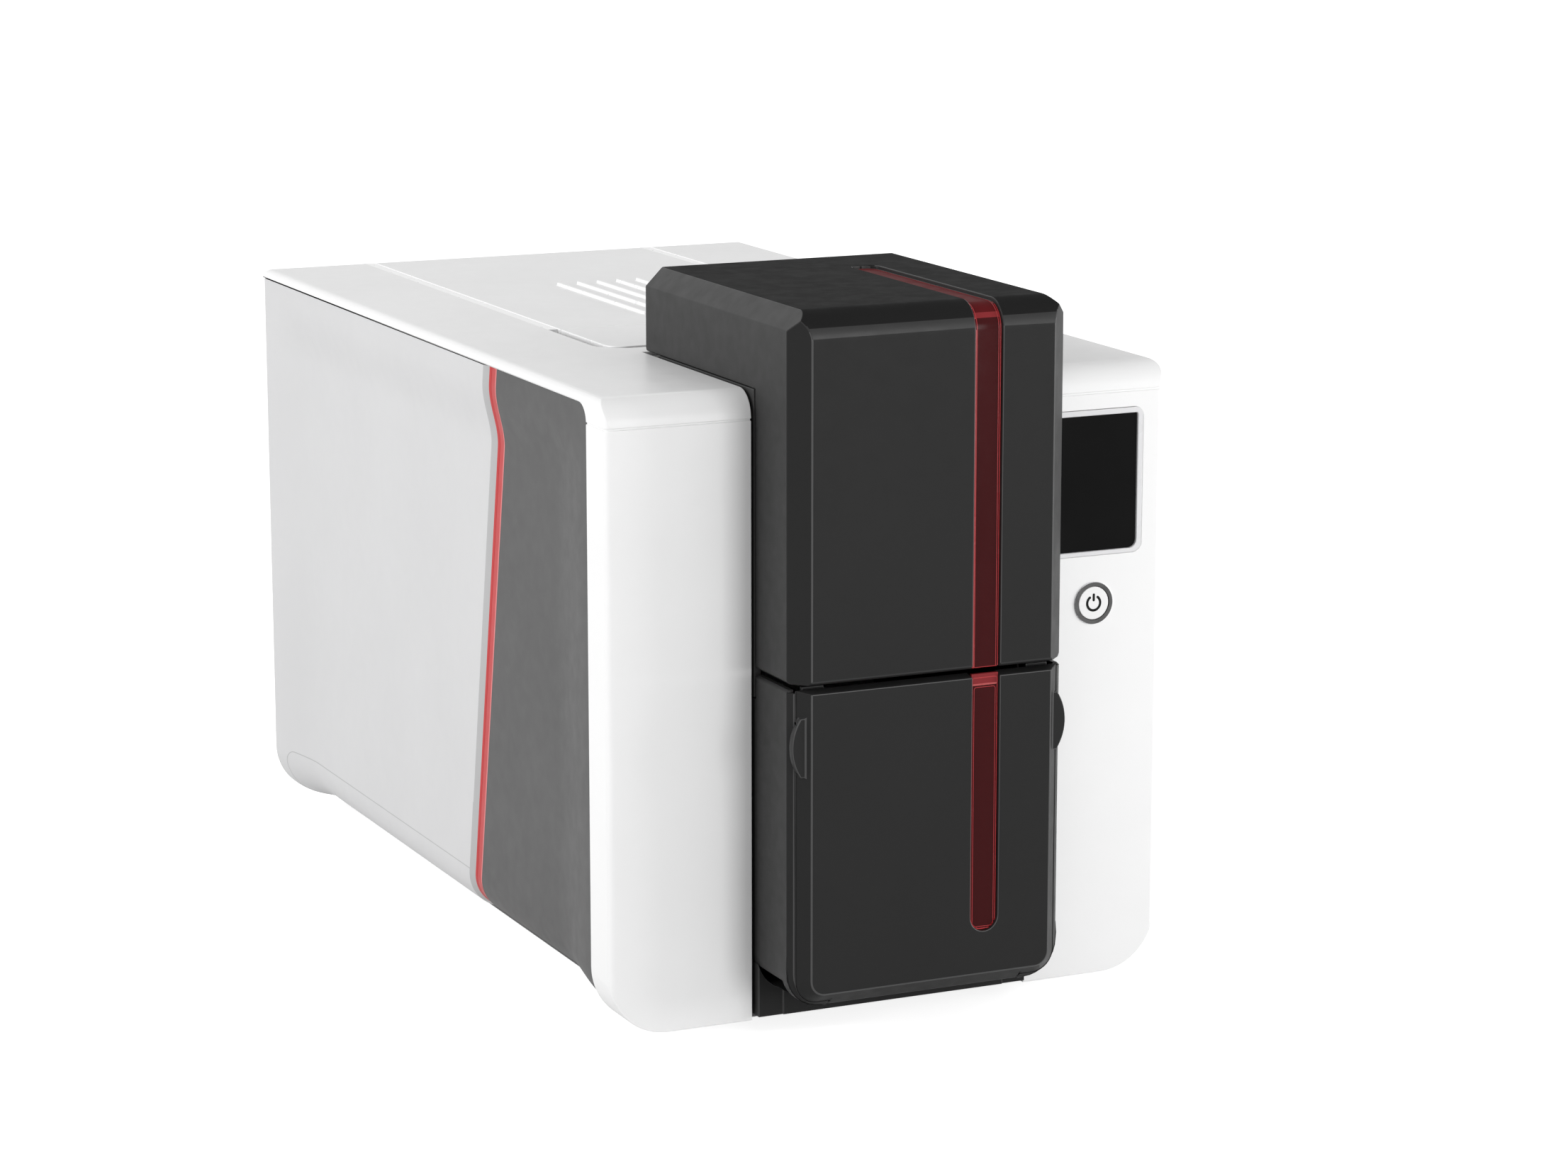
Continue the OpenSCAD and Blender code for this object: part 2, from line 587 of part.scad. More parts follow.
// ---- card tower: feeder behind the hood ----
rear_wall_y = hood_axis_y - 1;    // front face of the feeder's rear wall
module feeder_frame() at_body() color(black) difference() {
    union() {
        // side plates in the body's slot, and the floor that the cards lie on
        both_sides() block(tower_half - wall, tower_half, seam, tower_in - 2.8, hood_z - 9.7, body_h + 0.3);
        block(-tower_half + wall - eps, tower_half - wall + eps, seam, tower_in - 2.8, floor_z,
            floor_z + floor_t);
        block(-tower_half + wall + 1, tower_half - wall - 1, -tower_out + 6.5, seam + eps, floor_z,
            floor_z + floor_t);
        // rear wall with the card slot below it, and the ears of the hood's hinge
        block(-tower_half + wall - eps, tower_half - wall + eps, rear_wall_y, tower_in - 2.8, card_z + 1.2,
            body_h - 1);
        both_sides() {
            rod_x(hood_ear + 0.4, hood_ear + 6, hood_hinge_r, hood_axis_y, hood_axis_z);
            block(hood_ear + 0.4, hood_ear + 6, rear_wall_y - 3, tower_in - 2.8, body_h - 6, hood_axis_z);
        }
        // magazine: two guide walls, the front stop and the gate at the rear
        both_sides() block(bay_half, bay_half + magazine_t, mag_front, mag_back, floor_z + eps, body_h - 7);
        both_sides() block(bay_half - 12, bay_half + eps, mag_front - magazine_t, mag_front, floor_z + eps,
            body_h - 7);
        both_sides() block(bay_half - eps, bay_half + magazine_t, mag_front - magazine_t, mag_front + eps,
            floor_z + eps, body_h - 7);
        block(-bay_half - magazine_t, bay_half + magazine_t, mag_back - eps, mag_back + magazine_t,
            card_z + 1.2, body_h - 7);
        // rails of the thickness gauge
        both_sides() block(gauge_half + slip, gauge_half + slip + 3, mag_back + magazine_t - eps,
            mag_back + magazine_t + 3,
            card_z + 6, body_h - 20);
    }
    // room for the hood's heel when it tips back
    both_sides() block(tower_half - wall - 1, tower_half + 1, hood_axis_y - 7, tower_in, body_h - 1,
        body_h + 1);
    // the magazine's outer corners are open for the card weight's ears
    both_sides() block(bay_half - 1, bay_half + magazine_t + 1, ear_y - 3, ear_y + 3, floor_z + floor_t,
        body_h - 12);
    // pick roller
    block(-pick_half - 1.5, pick_half + 1.5, pick_y - roller_r - 1, pick_y + roller_r + 1, floor_z - 1,
        floor_z + floor_t + 1);
    rod_x(-tower_half - 1, tower_half + 1, shaft_r + run, pick_y, shaft_z);
    both_sides() rod_x(hood_ear, hood_ear + 7, pin_r, hood_axis_y, hood_axis_z);
}
pick_half = 15;
ear_y = 18;          // guide ears of the card weight
gauge_half = 7;
module card_weight() at_body() color(dark_grey) {
    w = bay_half - slip;
    difference() {
        block(-w, w, mag_front + slip, mag_back - slip, card_z, card_z + 5.4);
        block(-w + 8, w - 8, mag_front + 18, mag_back - 18, card_z + 2.4, card_z + 7);
    }
    both_sides() block(w - eps, bay_half + magazine_t + 3, ear_y - 2.5, ear_y + 2.5, card_z, card_z + 4.4);
    // finger tab
    block(-6, 6, mag_front + 6, mag_front + 9, card_z + 5.4 - eps, card_z + 25.4);
}
module gauge_lever() at_body() color(light_grey) {
    block(-gauge_half, gauge_half, mag_back + magazine_t + slip, mag_back + magazine_t + 2.3, card_z + 8,
        body_h - 24);
    block(-4, 4, mag_back + magazine_t + 2.3 - eps, mag_back + magazine_t + 7, body_h - 34, body_h - 26);
}

// ---- card tower: hopper and door ----
// front view of the hopper's outside, shrunk by o; its top is at "top"
module hopper_view(o, top) difference() {
    translate([-tower_half + o, hopper_z + o]) square([tower_w - 2 * o, top - hopper_z - o]);
    for (s = [0, 1]) mirror([s, 0]) translate([-tower_half + o, hopper_z + o]) corner_cut(hopper_r - o);
}
back_top = hood_z - 10;          // top of the hopper inside the body
hopper_back = 74;
module hopper_housing() at_body() color(black) difference() {
    union() {
        along_y(-tower_out + bevel, -seam) difference() {
            hopper_view(0, door_top);
            for (s = [0, 1]) mirror([s, 0]) translate([tower_half, door_top]) 
                polygon([[-door_edge, 1], [-door_edge, 0], [0, -door_edge], [1, -door_edge], [1, 1]]);
        }
        along_y(-seam - eps, hopper_back) hopper_view(0, back_top);
        // bevelled lip round the door
        hull() {
            along_y(-tower_out + bevel - eps, -tower_out + bevel)
                hopper_view(0, door_top - door_edge, $fn = 32);
            along_y(-door_seam - 0.1 + 0.3, -door_seam + 0.3)
                hopper_view(lip - 0.3, door_top - door_edge, $fn = 32);
        }
    }
    along_y(-tower_out, hopper_back - wall) difference() {
        hopper_view(wall, door_top + 1);
        // lugs of the door's hinge stand beside the notch
        both_sides_2d() translate([tongue_half + 0.4, hopper_z])
            square([5, door_axis_z - hopper_z + door_knuckle_r]);
    }
    block(-tower_half, tower_half, door_axis_y + door_knuckle_r + 1, hopper_back - wall, hopper_z + wall,
        hopper_z + wall + 6);
    // notch for the door's hinge tongue
    block(-tongue_half - 0.4, tongue_half + 0.4, -tower_out, door_axis_y + 4.5, hopper_z - 1,
        door_axis_z + 4.5);
    both_sides() rod_x(tongue_half, tongue_half + 6, pin_r, door_axis_y, door_axis_z);
    // the slot through which printed cards drop in, at the rear
    block(-bay_half - 2, bay_half + 2, hopper_back - wall - 1, hopper_back + 1, 87, door_top);
}
tray_top = 51;                   // top of the output tray's sides
module output_tray() at_body() color(dark_grey) {
    front = door_axis_y + 8;
    difference() {
        block(-bay_half - 3, bay_half + 3, front, hopper_back - wall - slip, hopper_z + wall, tray_top);
        block(-bay_half, bay_half, front - 1, hopper_back, hopper_z + wall + 2.5, tray_top + 1);
    }
    // flanges on the hopper's floor
    both_sides() block(bay_half + 3 - eps, tower_half - hopper_r, front, hopper_back - wall - slip,
        hopper_z + wall, hopper_z + wall + 2);
}
module door_pin() at_body() color(steel) rod_x(-tongue_half - 5, tongue_half + 5, pin_r, door_axis_y,
    door_axis_z);

// flat outline of the door's front, grown by g
module door_view(g) difference() {
    low = hopper_z + chin - g * chin / bevel;
    translate([-tower_half + bevel - g, low])
        square([tower_w - 2 * bevel + 2 * g, door_top - door_edge - low + min(g, door_edge)]);
    for (s = [0, 1]) mirror([s, 0]) translate([-tower_half + bevel - g, low]) corner_cut(door_r + g * 0.7);
}
grip_h = 19.8;
grip_r = 17.5;
grip_z = 99.7;
grip_x = tower_half + 0.1;        // outermost point of a finger grip
module door() at_body() color(black) difference() {
    union() {
        hull() {
            along_y(-tower_out, -tower_out + 0.1) door_view(0, $fn = 32);
            along_y(-door_seam - 0.1, -door_seam) door_view(bevel - lip - 0.1, $fn = 32);
        }
        // finger grips at both sides
        both_sides() along_y(-door_seam - 2.6, -door_seam) intersection() {
            translate([grip_x - grip_r, grip_z]) circle(grip_r);
            translate([tower_half - bevel - 2, grip_z - grip_h / 2]) square([bevel + 4, grip_h]);
        }
        // inner rim that closes into the hopper
        along_y(-door_seam - eps, -door_seam + 4) difference() {
            hopper_view(wall + 0.6, door_top - 3);
            hopper_view(wall + 2.6, door_top - 5);
            translate([-tower_half, hopper_z]) square([tower_w, hopper_r + 2]);
        }
        // catches on the top of the rim
        both_sides() block(tongue_half + 2, tower_half - wall - 2.5, -door_seam + 1.3, -door_seam + 2.9,
            door_top - 4, door_top + 0.7);
        // hinge tongue and knuckle
        difference() {
            block(-tongue_half, tongue_half, -door_seam - 2, door_axis_y, hopper_z,
                door_axis_z + door_knuckle_r);
            along_x(-tongue_half - 1, tongue_half + 1) translate([-tower_out + bevel, hopper_z])
                polygon([[0, -1], [0, 0], [-bevel, chin], [-bevel - 1, chin], [-bevel - 1, -1]]);
            block(-tongue_half - 1, tongue_half + 1, door_axis_y - eps, 0, hopper_z - 1, door_axis_z);
        }
        rod_x(-tongue_half, tongue_half, door_knuckle_r, door_axis_y, door_axis_z);
    }
    rod_x(-tongue_half - 1, tongue_half + 1, pin_r + run, door_axis_y, door_axis_z);
    // pocket behind the window, and the window slot
    door_slot(0, -tower_out - 1, -door_seam + 5);
    // hollow back
    along_y(-tower_out + wall, -door_seam + eps) difference() {
        door_view(-2);
        translate([-tongue_half - 3, hopper_z]) square([2 * tongue_half + 6, bevel + 4]);
    }
}
module door_slot(g, y0, y1) along_y(y0, y1) {
    translate([window_x, window_low + window_w / 2]) circle(window_w / 2 + g);
    translate([window_x - window_w / 2 - g, window_low + window_w / 2])
        square([window_w + 2 * g, door_top - 1 - window_low - window_w / 2 + (g < 0 ? 0 : 2)]);
}
module door_window() at_body() color(window_red)
    door_slot(-0.1, -tower_out + window_sunk, -tower_out + window_sunk + window_t);

// ---- base ----
base_back = 3;       // rear of the black front strip
module front_base() at_body() color(black) difference() {
    union() {
        block(-tower_half, tower_half, -3, base_back, strip_z, hopper_z + hopper_r + 1);
        block(-tower_half + 8.8, tower_half - 8.8, -3.5, -2, strip_z, hopper_z + 1);
    }
    along_y(-4, 4) difference() {
        translate([-slot_half, hopper_z - slip]) square([2 * slot_half, 60]);
        for (s = [0, 1]) mirror([s, 0]) translate([-tower_half - slip, hopper_z - slip])
            corner_cut(hopper_r + slip);
    }
}
tray_half = panel_in - 1;
module base_tray() at_body() color(dark_grey) difference() {
    union() {
        block(-tray_half, tray_half, band_d + slip, body_d - wall - slip, 0, tray_t);
        block(-tower_half - 0.4, tower_half + 0.4, base_back + slip, band_d + 1, 0, tray_t);
        // upstand all round, ribs under the hopper, and rails for the steel frame
        both_sides() block(tray_half - 2, tray_half, band_d + 1, body_d - wall - slip, 0, 8);
        for (y = [12, 40, hopper_back - 6]) block(-40, 40, y, y + 2.5, tray_t - eps, hopper_z);
        both_sides() for (x = [plate_x - 2.6, plate_x + plate_t + 0.1])
            block(x, x + 2.5, 20, lid_axis_y - 10, tray_t - eps, tray_t + 5);
    }
    // cooling slots
    for (y = [120 : 12 : 280]) block(-30, 30, y, y + 4, -1, tray_t + 1);
}
module feet() at_body() color(rubber) for (x = [-feet_x, feet_x], y = feet_y) translate([x, y, -foot_h])
    rotate_extrude() polygon([[0, 0], [foot_r - 1, 0], [foot_r, 1], [foot_r, foot_h], [0, foot_h]]);

vent_rows = 9;
port_x = plate_x + plate_t + 2 + 1.6;    // outer face of the main board
usb_z = 37;
lan_z = 59;
jack_z = 21;
module rear_panel() at_body() color(white) difference() {
    along_y(body_d - wall, body_d) {
        half = rim_x - wall - slip;
        translate([-tray_half, 0]) square([2 * tray_half, corner_r]);
        for (x = [-panel_in, panel_in]) translate([x, corner_r]) circle(half - panel_in);
        // beside the lid's hinge it reaches up to the cover
        notch = well_half + 7;
        low = lid_axis_z - lid_hinge_r - 0.4;
        polygon([[-half, corner_r], [half, corner_r], [half, panel_top], [notch, panel_top], [notch, low],
            [-notch, low], [-notch, panel_top], [-half, panel_top]]);
    }
    for (k = [0 : vent_rows - 1]) block(-32, 32, body_d - wall - 1, body_d + 1, 120 + k * 7, 123 + k * 7);
    // connectors
    block(port_x + 0.6, port_x + 12.6, body_d - 4, body_d + 1, usb_z - 0.2, usb_z + 11.2);
    block(port_x + 0.6, port_x + 16.6, body_d - 4, body_d + 1, lan_z - 0.2, lan_z + 13.7);
    block(port_x + 0.6, port_x + 11.2, body_d - 4, body_d + 1, jack_z - 0.2, jack_z + 10.8);
    // security slot
    block(-tray_half, -tray_half + 7, body_d - 4, body_d + 1, corner_r + 8, corner_r + 11);
    for (x = [-screw_x, screw_x], z = screw_z) {
        rod_y(body_d - wall - 1, body_d + 1, 1.6, x, z);
        rod_y(body_d - 1.5, body_d + 1, 3.1, x, z);
    }
}
screw_x = 70;
screw_z = [13, body_h - 22];
module rear_screws() at_body() color(steel) for (x = [-screw_x, screw_x], z = screw_z) {
    rod_y(body_d - 8, body_d - 1.4, 1.5, x, z);
    rod_y(body_d - 1.5, body_d - 0.2, 2.9, x, z);
}

// ---- inner frame ----
module chassis_plate() difference() {
    along_x(plate_x, plate_x + plate_t) difference() {
        translate([20, tray_t]) square([lid_axis_y - 30, plate_top - tray_t]);
        // weight-saving windows
        for (y = [90, 140]) translate([y, 20]) square([44, 30]);
        translate([19, 60]) square([9, plate_top]);
        translate([19, card_z + 22]) square([clean_y - 32, plate_top]);
    }
    for (y = [feed_y, platen_y, exit_y]) rod_x(plate_x - 1, plate_x + plate_t + 1, shaft_r + run, y, shaft_z);
    for (y = [feed_y, exit_y]) rod_x(plate_x - 1, plate_x + plate_t + 1, pinch_shaft_r + run, y, pinch_z);
    rod_x(plate_x - 1, plate_x + plate_t + 1, pinch_shaft_r + run, clean_y, clean_z);
    // notches into which the ribbon spools drop
    for (y = [takeup_y, supply_y]) {
        rod_x(plate_x - 1, plate_x + plate_t + 1, spool_shaft_r + run, y, spool_z);
        block(plate_x - 1, plate_x + plate_t + 1, y - spool_shaft_r - run, y + spool_shaft_r + run, spool_z,
            plate_top + 1);
    }
}
module chassis_left() at_body() color(steel) difference() {
    mirror([1, 0, 0]) chassis_plate();
    rod_x(-plate_x - plate_t - 1, -plate_x + 1, shaft_r + run, pick_y, shaft_z);
    rod_x(-plate_x - plate_t - 1, -plate_x + 1, 2.5 + run, drive_y, drive_z);
}
module chassis_right() at_body() color(steel) difference() {
    chassis_plate();
    rod_x(plate_x - 1, plate_x + plate_t + 1, pinch_shaft_r + run, ribbon_y, spool_z);
}
module card_guide() at_body() color(dark_grey) difference() {
    block(-plate_x + slip, plate_x - slip, tower_in + 1, exit_y + 30, floor_z, floor_z + floor_t);
    for (y = [feed_y, platen_y, exit_y])
        block(-sleeve_half - 1.5, sleeve_half + 1.5, y - roller_r - 1, y + roller_r + 1, floor_z - 1,
            floor_z + floor_t + 1);
    both_sides() block(sleeve_half + 8, sleeve_half + 20, feed_y + 14, platen_y - 14, floor_z - 1,
        floor_z + floor_t + 1);
}
board_y = body_d - 164;          // front edge of the main board
board_low = 17;
board_top = 151;
chip = 16;
module main_board() at_body() color(board_green) {
    block(port_x - 1.6, port_x, board_y, body_d - 4, board_low, board_top);
    // chips, capacitors and connectors
    for (k = [0 : 2], z = [board_low + 24, board_top - 60])
        translate([port_x - eps, board_y + 14 + k * 31, z]) cube([2, chip, chip]);
    for (k = [0 : 5]) rod_x(port_x - eps, port_x + 12, 5, board_y + 20 + k * 18, board_top - 18);
    // spacers on the steel frame
    for (y = [board_y + 6, body_d - 25], z = [board_low + 6, board_top - 6])
        rod_x(plate_x + plate_t, port_x - 1.6 + eps, 3, y, z);
}
module usb_port() at_body() color(steel) difference() {
    block(port_x + 0.8, port_x + 12.4, body_d - 17, body_d - 0.5, usb_z, usb_z + 11);
    block(port_x + 2.4, port_x + 10.8, body_d - 12, body_d + 1, usb_z + 1.7, usb_z + 9.3);
    block(port_x + 4.4, port_x + 8.8, body_d - 15, body_d - 10, usb_z + 4, usb_z + 7);
}
module lan_port() at_body() color(steel) difference() {
    block(port_x + 0.8, port_x + 16.4, body_d - 20, body_d - 0.5, lan_z, lan_z + 13.5);
    block(port_x + 2.6, port_x + 14.4, body_d - 15, body_d + 1, lan_z + 3, lan_z + 11);
}
module power_inlet() at_body() color(black) difference() {
    block(port_x + 0.8, port_x + 11, body_d - 15, body_d - 0.5, jack_z, jack_z + 10.6);
    rod_y(body_d - 12, body_d + 1, 3.6, port_x + 5.9, jack_z + 5.3);
}
module drive_motor() at_body() color(steel) difference() {
    block(-plate_x + eps, -plate_x + 38, drive_y - 21, drive_y + 21, drive_z - 21, drive_z + 21);
    rod_x(-plate_x - 1, -plate_x + 6, 6, drive_y, drive_z);
    for (a = [0 : 90 : 270]) translate([0, drive_y, drive_z]) rotate([a, 0, 0])
        along_x(-plate_x - 1, -plate_x + 40) polygon([[21.5, 17], [21.5, 21.5], [17, 21.5]]);
}
module ribbon_motor() at_body() color(steel) difference() {
    rod_x(plate_x - 28, plate_x - eps, 11.5, ribbon_y, spool_z);
    rod_x(plate_x - 5, plate_x + 1, 5, ribbon_y, spool_z);
}
module idler_axles() at_body() color(steel)
    for (y = [pick_y, feed_y, platen_y]) rod_x(gear_out, -plate_x - plate_t, 4, y + roller_pitch / 2,
        shaft_z);

// ---- gears ----
// Involute teeth, four points a flank, thinned a little for backlash.
pressure = 20;
function inv(a) = tan(a) * 180 / PI - a;
function flank(r, base, half) = let (a = r > base ? acos(base / r) : 0) half - inv(a);
function gear_points(n) = let (
        r = gear_m * n / 2,
        base = r * cos(pressure),
        half = 90 / n - 4.5 / n + inv(pressure),
        low = r - 1.2 * gear_m,
        radii = [low, max(base, low + 0.1), r, r + 0.9 * gear_m])
    [for (k = [0 : n - 1]) each [
        for (s = [-1, 1], i = [0 : 3]) let (q = radii[s < 0 ? i : 3 - i],
            a = k * 360 / n + s * flank(q, base, half))
            [q * cos(a), q * sin(a)]]];
// gear in the Y-Z plane, turned by "phase" from the +Y direction
module gear(n, phase, x0, x1, y, z, bore) difference() {
    translate([0, y, z]) rotate([phase, 0, 0]) along_x(x0, x1) polygon(gear_points(n));
    if (bore > 0) rod_x(x0 - 1, x1 + 1, bore, y, z);
}
// phase of gear 2 that meshes with gear 1 of phase a, in the direction d from 1 to 2
function meshed(d, a, n1, n2) = d + 180 - (0.5 - (d - a) * n1 / 360) * 360 / n2;
pick_phase = 0;
idler1_phase = meshed(0, pick_phase, roller_teeth, idler_teeth);
feed_phase = meshed(0, idler1_phase, idler_teeth, roller_teeth);
idler2_phase = meshed(0, feed_phase, roller_teeth, idler_teeth);
platen_phase = meshed(0, idler2_phase, idler_teeth, roller_teeth);
idler3_phase = meshed(0, platen_phase, roller_teeth, idler_teeth);
exit_phase = meshed(0, idler3_phase, idler_teeth, roller_teeth);
drive_phase = meshed(-90, idler2_phase, idler_teeth, pinion_teeth);
ribbon_phase = meshed(180, 0, ribbon_teeth, pinion_teeth);

module driven_roller(y, phase, half, x1) {
    color(rubber) difference() {
        rod_x(-half, half, roller_r, y, shaft_z);
        rod_x(-half - 1, half + 1, shaft_r - eps, y, shaft_z);
    }
    color(steel) rod_x(gear_out, x1, shaft_r, y, shaft_z);
    color(nylon) gear(roller_teeth, phase, gear_x, gear_x + gear_w, y, shaft_z, shaft_r - eps);
}
shaft_end = plate_x + plate_t + 2;
module pick_roller() at_body() driven_roller(pick_y, pick_phase, pick_half, tower_half);
module feed_roller() at_body() driven_roller(feed_y, feed_phase, sleeve_half, shaft_end);
module platen_roller() at_body() driven_roller(platen_y, platen_phase, sleeve_half, shaft_end);
module exit_roller() at_body() driven_roller(exit_y, exit_phase, sleeve_half, shaft_end);
module idler(y, phase) color(nylon) difference() {
    gear(idler_teeth, phase, gear_x, gear_x + gear_w, y, shaft_z, 4 + run);
    for (a = [0 : 60 : 300]) translate([0, y, shaft_z]) rotate([a, 0, 0])
        rod_x(gear_x - 1, gear_x + gear_w + 1, idler_r * 0.2, idler_r * 0.6, 0);
}
module idler_gear_1() at_body() idler(pick_y + roller_pitch / 2, idler1_phase);
module idler_gear_2() at_body() idler(feed_y + roller_pitch / 2, idler2_phase);
module idler_gear_3() at_body() idler(platen_y + roller_pitch / 2, idler3_phase);
module drive_pinion() at_body() {
    color(steel) rod_x(gear_out, -plate_x + 4, 2.5, drive_y, drive_z);
    color(nylon) gear(pinion_teeth, drive_phase, gear_x, gear_x + gear_w, drive_y, drive_z, 2.5 - eps);
}
module free_roller(r, y, z, tint) {
    color(tint) rod_x(-sleeve_half, sleeve_half, r, y, z);
    color(steel) rod_x(-plate_x - plate_t - 2, plate_x + plate_t + 2, pinch_shaft_r, y, z);
}
module feed_pinch_roller() at_body() free_roller(pinch_r, feed_y, pinch_z, rubber);
module exit_pinch_roller() at_body() free_roller(pinch_r, exit_y, pinch_z, rubber);
module cleaning_roller() at_body() free_roller(roller_r, clean_y, clean_z, [0.55, 0.66, 0.80]);

// ---- ribbon ----
module spool(y, roll, rim) {
    color(nylon) {
        for (x = [-sleeve_half - 1.5, sleeve_half]) rod_x(x, x + 1.5, rim, y, spool_z);
        rod_x(-sleeve_half, sleeve_half, core_r, y, spool_z);
        rod_x(-plate_x - plate_t - 2, plate_x + plate_t + 2, spool_shaft_r, y, spool_z);
    }
    color(dark_grey) rod_x(-sleeve_half + 1, sleeve_half - 1, roll, y, spool_z);
}
module supply_spool() at_body() spool(supply_y, ribbon_r, flange_r);
module takeup_spool() at_body() {
    spool(takeup_y, takeup_r, takeup_r + 4);
    color(nylon) gear(ribbon_teeth, 0, shaft_end - eps, shaft_end + gear_w, takeup_y, spool_z, 0);
}
module ribbon_pinion() at_body() {
    color(steel) rod_x(plate_x - 4, shaft_end + gear_w, pinch_shaft_r, ribbon_y, spool_z);
    color(nylon) gear(pinion_teeth, ribbon_phase, shaft_end, shaft_end + gear_w, ribbon_y, spool_z,
        pinch_shaft_r - eps);
}

// ---- controls ----
module screen_bezel() at_body() color(light_grey) difference() {
    along_y(-0.4, wall + 1) round_rect(screen_x - screen_w / 2 - screen_rim,
        screen_x + screen_w / 2 + screen_rim,
        screen_z - screen_h / 2 - screen_rim, screen_z + screen_h / 2 + screen_rim, 3.5);
    along_y(-1, wall + 2) round_rect(screen_x - screen_w / 2 - 0.1, screen_x + screen_w / 2 + 0.1,
        screen_z - screen_h / 2 - 0.1, screen_z + screen_h / 2 + 0.1, 1.6);
}
module touchscreen() at_body() color([0.1, 0.1, 0.11]) {
    along_y(-0.2, wall + 1) round_rect(screen_x - screen_w / 2, screen_x + screen_w / 2,
        screen_z - screen_h / 2, screen_z + screen_h / 2, 1.5);
    // display module behind the glass
    block(screen_x - screen_w / 2 + 1, screen_x + screen_w / 2 - 1, wall + 1 - eps, wall + 6,
        screen_z - screen_h / 2 + 1, screen_z + screen_h / 2 - 1);
}
module button_ring() at_body() color(steel) difference() {
    rod_y(-0.6, wall + 1.5, ring_r, button_x, button_z);
    rod_y(-1, wall + 2, button_r + 0.1, button_x, button_z);
}
module power_button() at_body() color(white) {
    rod_y(-0.4, wall + 2, button_r, button_x, button_z);
    rod_y(wall + 2 - eps, wall + 6, 2.5, button_x, button_z);
}

base_tray();
front_base();
fascia_left();
fascia_right();
top_cover();
panel_left_rear();
stripe_left();
panel_left_front();
panel_right_rear();
stripe_right();
panel_right_front();
rear_panel();
chassis_left();
chassis_right();
hopper_housing();
output_tray();
feeder_frame();
hood_pin();
door_pin();
lid_pin();
screen_bezel();
touchscreen();
button_ring();
main_board();
usb_port();
lan_port();
power_inlet();
drive_motor();
ribbon_motor();
card_guide();
idler_axles();
latch_bar();
feet();
rear_screws();
lid();
head_carrier();
print_head();
release_plate();
hood();
hood_window();
card_weight();
gauge_lever();
door();
door_window();
power_button();
pick_roller();
feed_roller();
platen_roller();
exit_roller();
idler_gear_1();
idler_gear_2();
idler_gear_3();
drive_pinion();
feed_pinch_roller();
exit_pinch_roller();
cleaning_roller();
supply_spool();
takeup_spool();
ribbon_pinion();
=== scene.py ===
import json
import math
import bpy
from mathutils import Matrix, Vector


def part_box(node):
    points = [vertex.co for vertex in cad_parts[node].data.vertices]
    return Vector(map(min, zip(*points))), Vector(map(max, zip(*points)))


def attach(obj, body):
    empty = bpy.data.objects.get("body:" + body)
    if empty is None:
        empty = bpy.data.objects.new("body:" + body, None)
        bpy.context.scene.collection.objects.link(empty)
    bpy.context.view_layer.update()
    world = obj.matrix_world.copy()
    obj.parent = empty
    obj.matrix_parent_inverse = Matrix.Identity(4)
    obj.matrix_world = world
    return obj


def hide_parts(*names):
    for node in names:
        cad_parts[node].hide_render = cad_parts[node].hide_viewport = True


bl_info = {
    "name": "Card printer dressing",
    "version": (1, 0, 0),
    "blender": (4, 5, 0),
    "location": "View3D > Sidebar > Card printer",
    "description": "Dresses the packed model of a desktop card printer with softened covers, finishes and fittings",
    "category": "Object",
}

import bmesh
import bpy
from bpy.props import FloatProperty, FloatVectorProperty, IntProperty, PointerProperty
from mathutils import Matrix, Vector
from mathutils.bvhtree import BVHTree

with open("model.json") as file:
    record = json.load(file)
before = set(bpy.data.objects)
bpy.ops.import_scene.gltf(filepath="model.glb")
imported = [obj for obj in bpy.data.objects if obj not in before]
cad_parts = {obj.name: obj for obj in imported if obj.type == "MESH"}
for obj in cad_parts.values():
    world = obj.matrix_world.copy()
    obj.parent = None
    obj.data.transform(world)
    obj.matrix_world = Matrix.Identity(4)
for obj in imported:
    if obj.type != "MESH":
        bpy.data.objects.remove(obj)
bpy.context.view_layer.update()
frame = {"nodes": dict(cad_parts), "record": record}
NODES = frame["nodes"]
MM = 0.001
# the places below are given as the printer's maker would: from the white body's front face and underside
FRONT_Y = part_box("fascia_left")[0].y
UNDER_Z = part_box("fascia_left")[0].z


def at(x, y, z):
    """A place in millimetres from the middle, the front face and the underside of the white body."""
    return Vector((x * MM, FRONT_Y + y * MM, UNDER_Z + z * MM))


def span(node):
    """A node's box in those millimetres: x0, x1, y0, y1, z0, z1."""
    low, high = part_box(node)
    return (low.x / MM, high.x / MM, (low.y - FRONT_Y) / MM, (high.y - FRONT_Y) / MM,
            (low.z - UNDER_Z) / MM, (high.z - UNDER_Z) / MM)


def slot_colour(slot):
    """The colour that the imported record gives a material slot."""
    for m in frame["record"]["materials"]:
        if m["slot"] == slot:
            return tuple(m["base_color"][:3])
    raise RuntimeError(f"the record has no slot {slot}")


def body_of(node):
    for body, members in frame["record"]["behaviour"]["bodies"].items():
        if node in members:
            return body
    raise RuntimeError(f"no body holds {node}")


def slot_of(node):
    for part in frame["record"]["subparts"]:
        if part["node"] == node:
            return part["material_slot"]
    raise RuntimeError(f"the record has no node {node}")


# ---------------------------------------------------------------- sizes and colours a user would change

def shade(c, k):
    return tuple(min(1.0, v * k) for v in c)


def length(name, description, default, low, high):
    """A length that a user can change, given in mm."""
    return FloatProperty(name=name, description=description, default=default * MM, min=low * MM, max=high * MM,
                         precision=5, subtype="DISTANCE", unit="LENGTH")


def colour(name, description, default):
    return FloatVectorProperty(name=name, description=description, default=default, min=0.0, max=1.0,
                               size=3, subtype="COLOR")


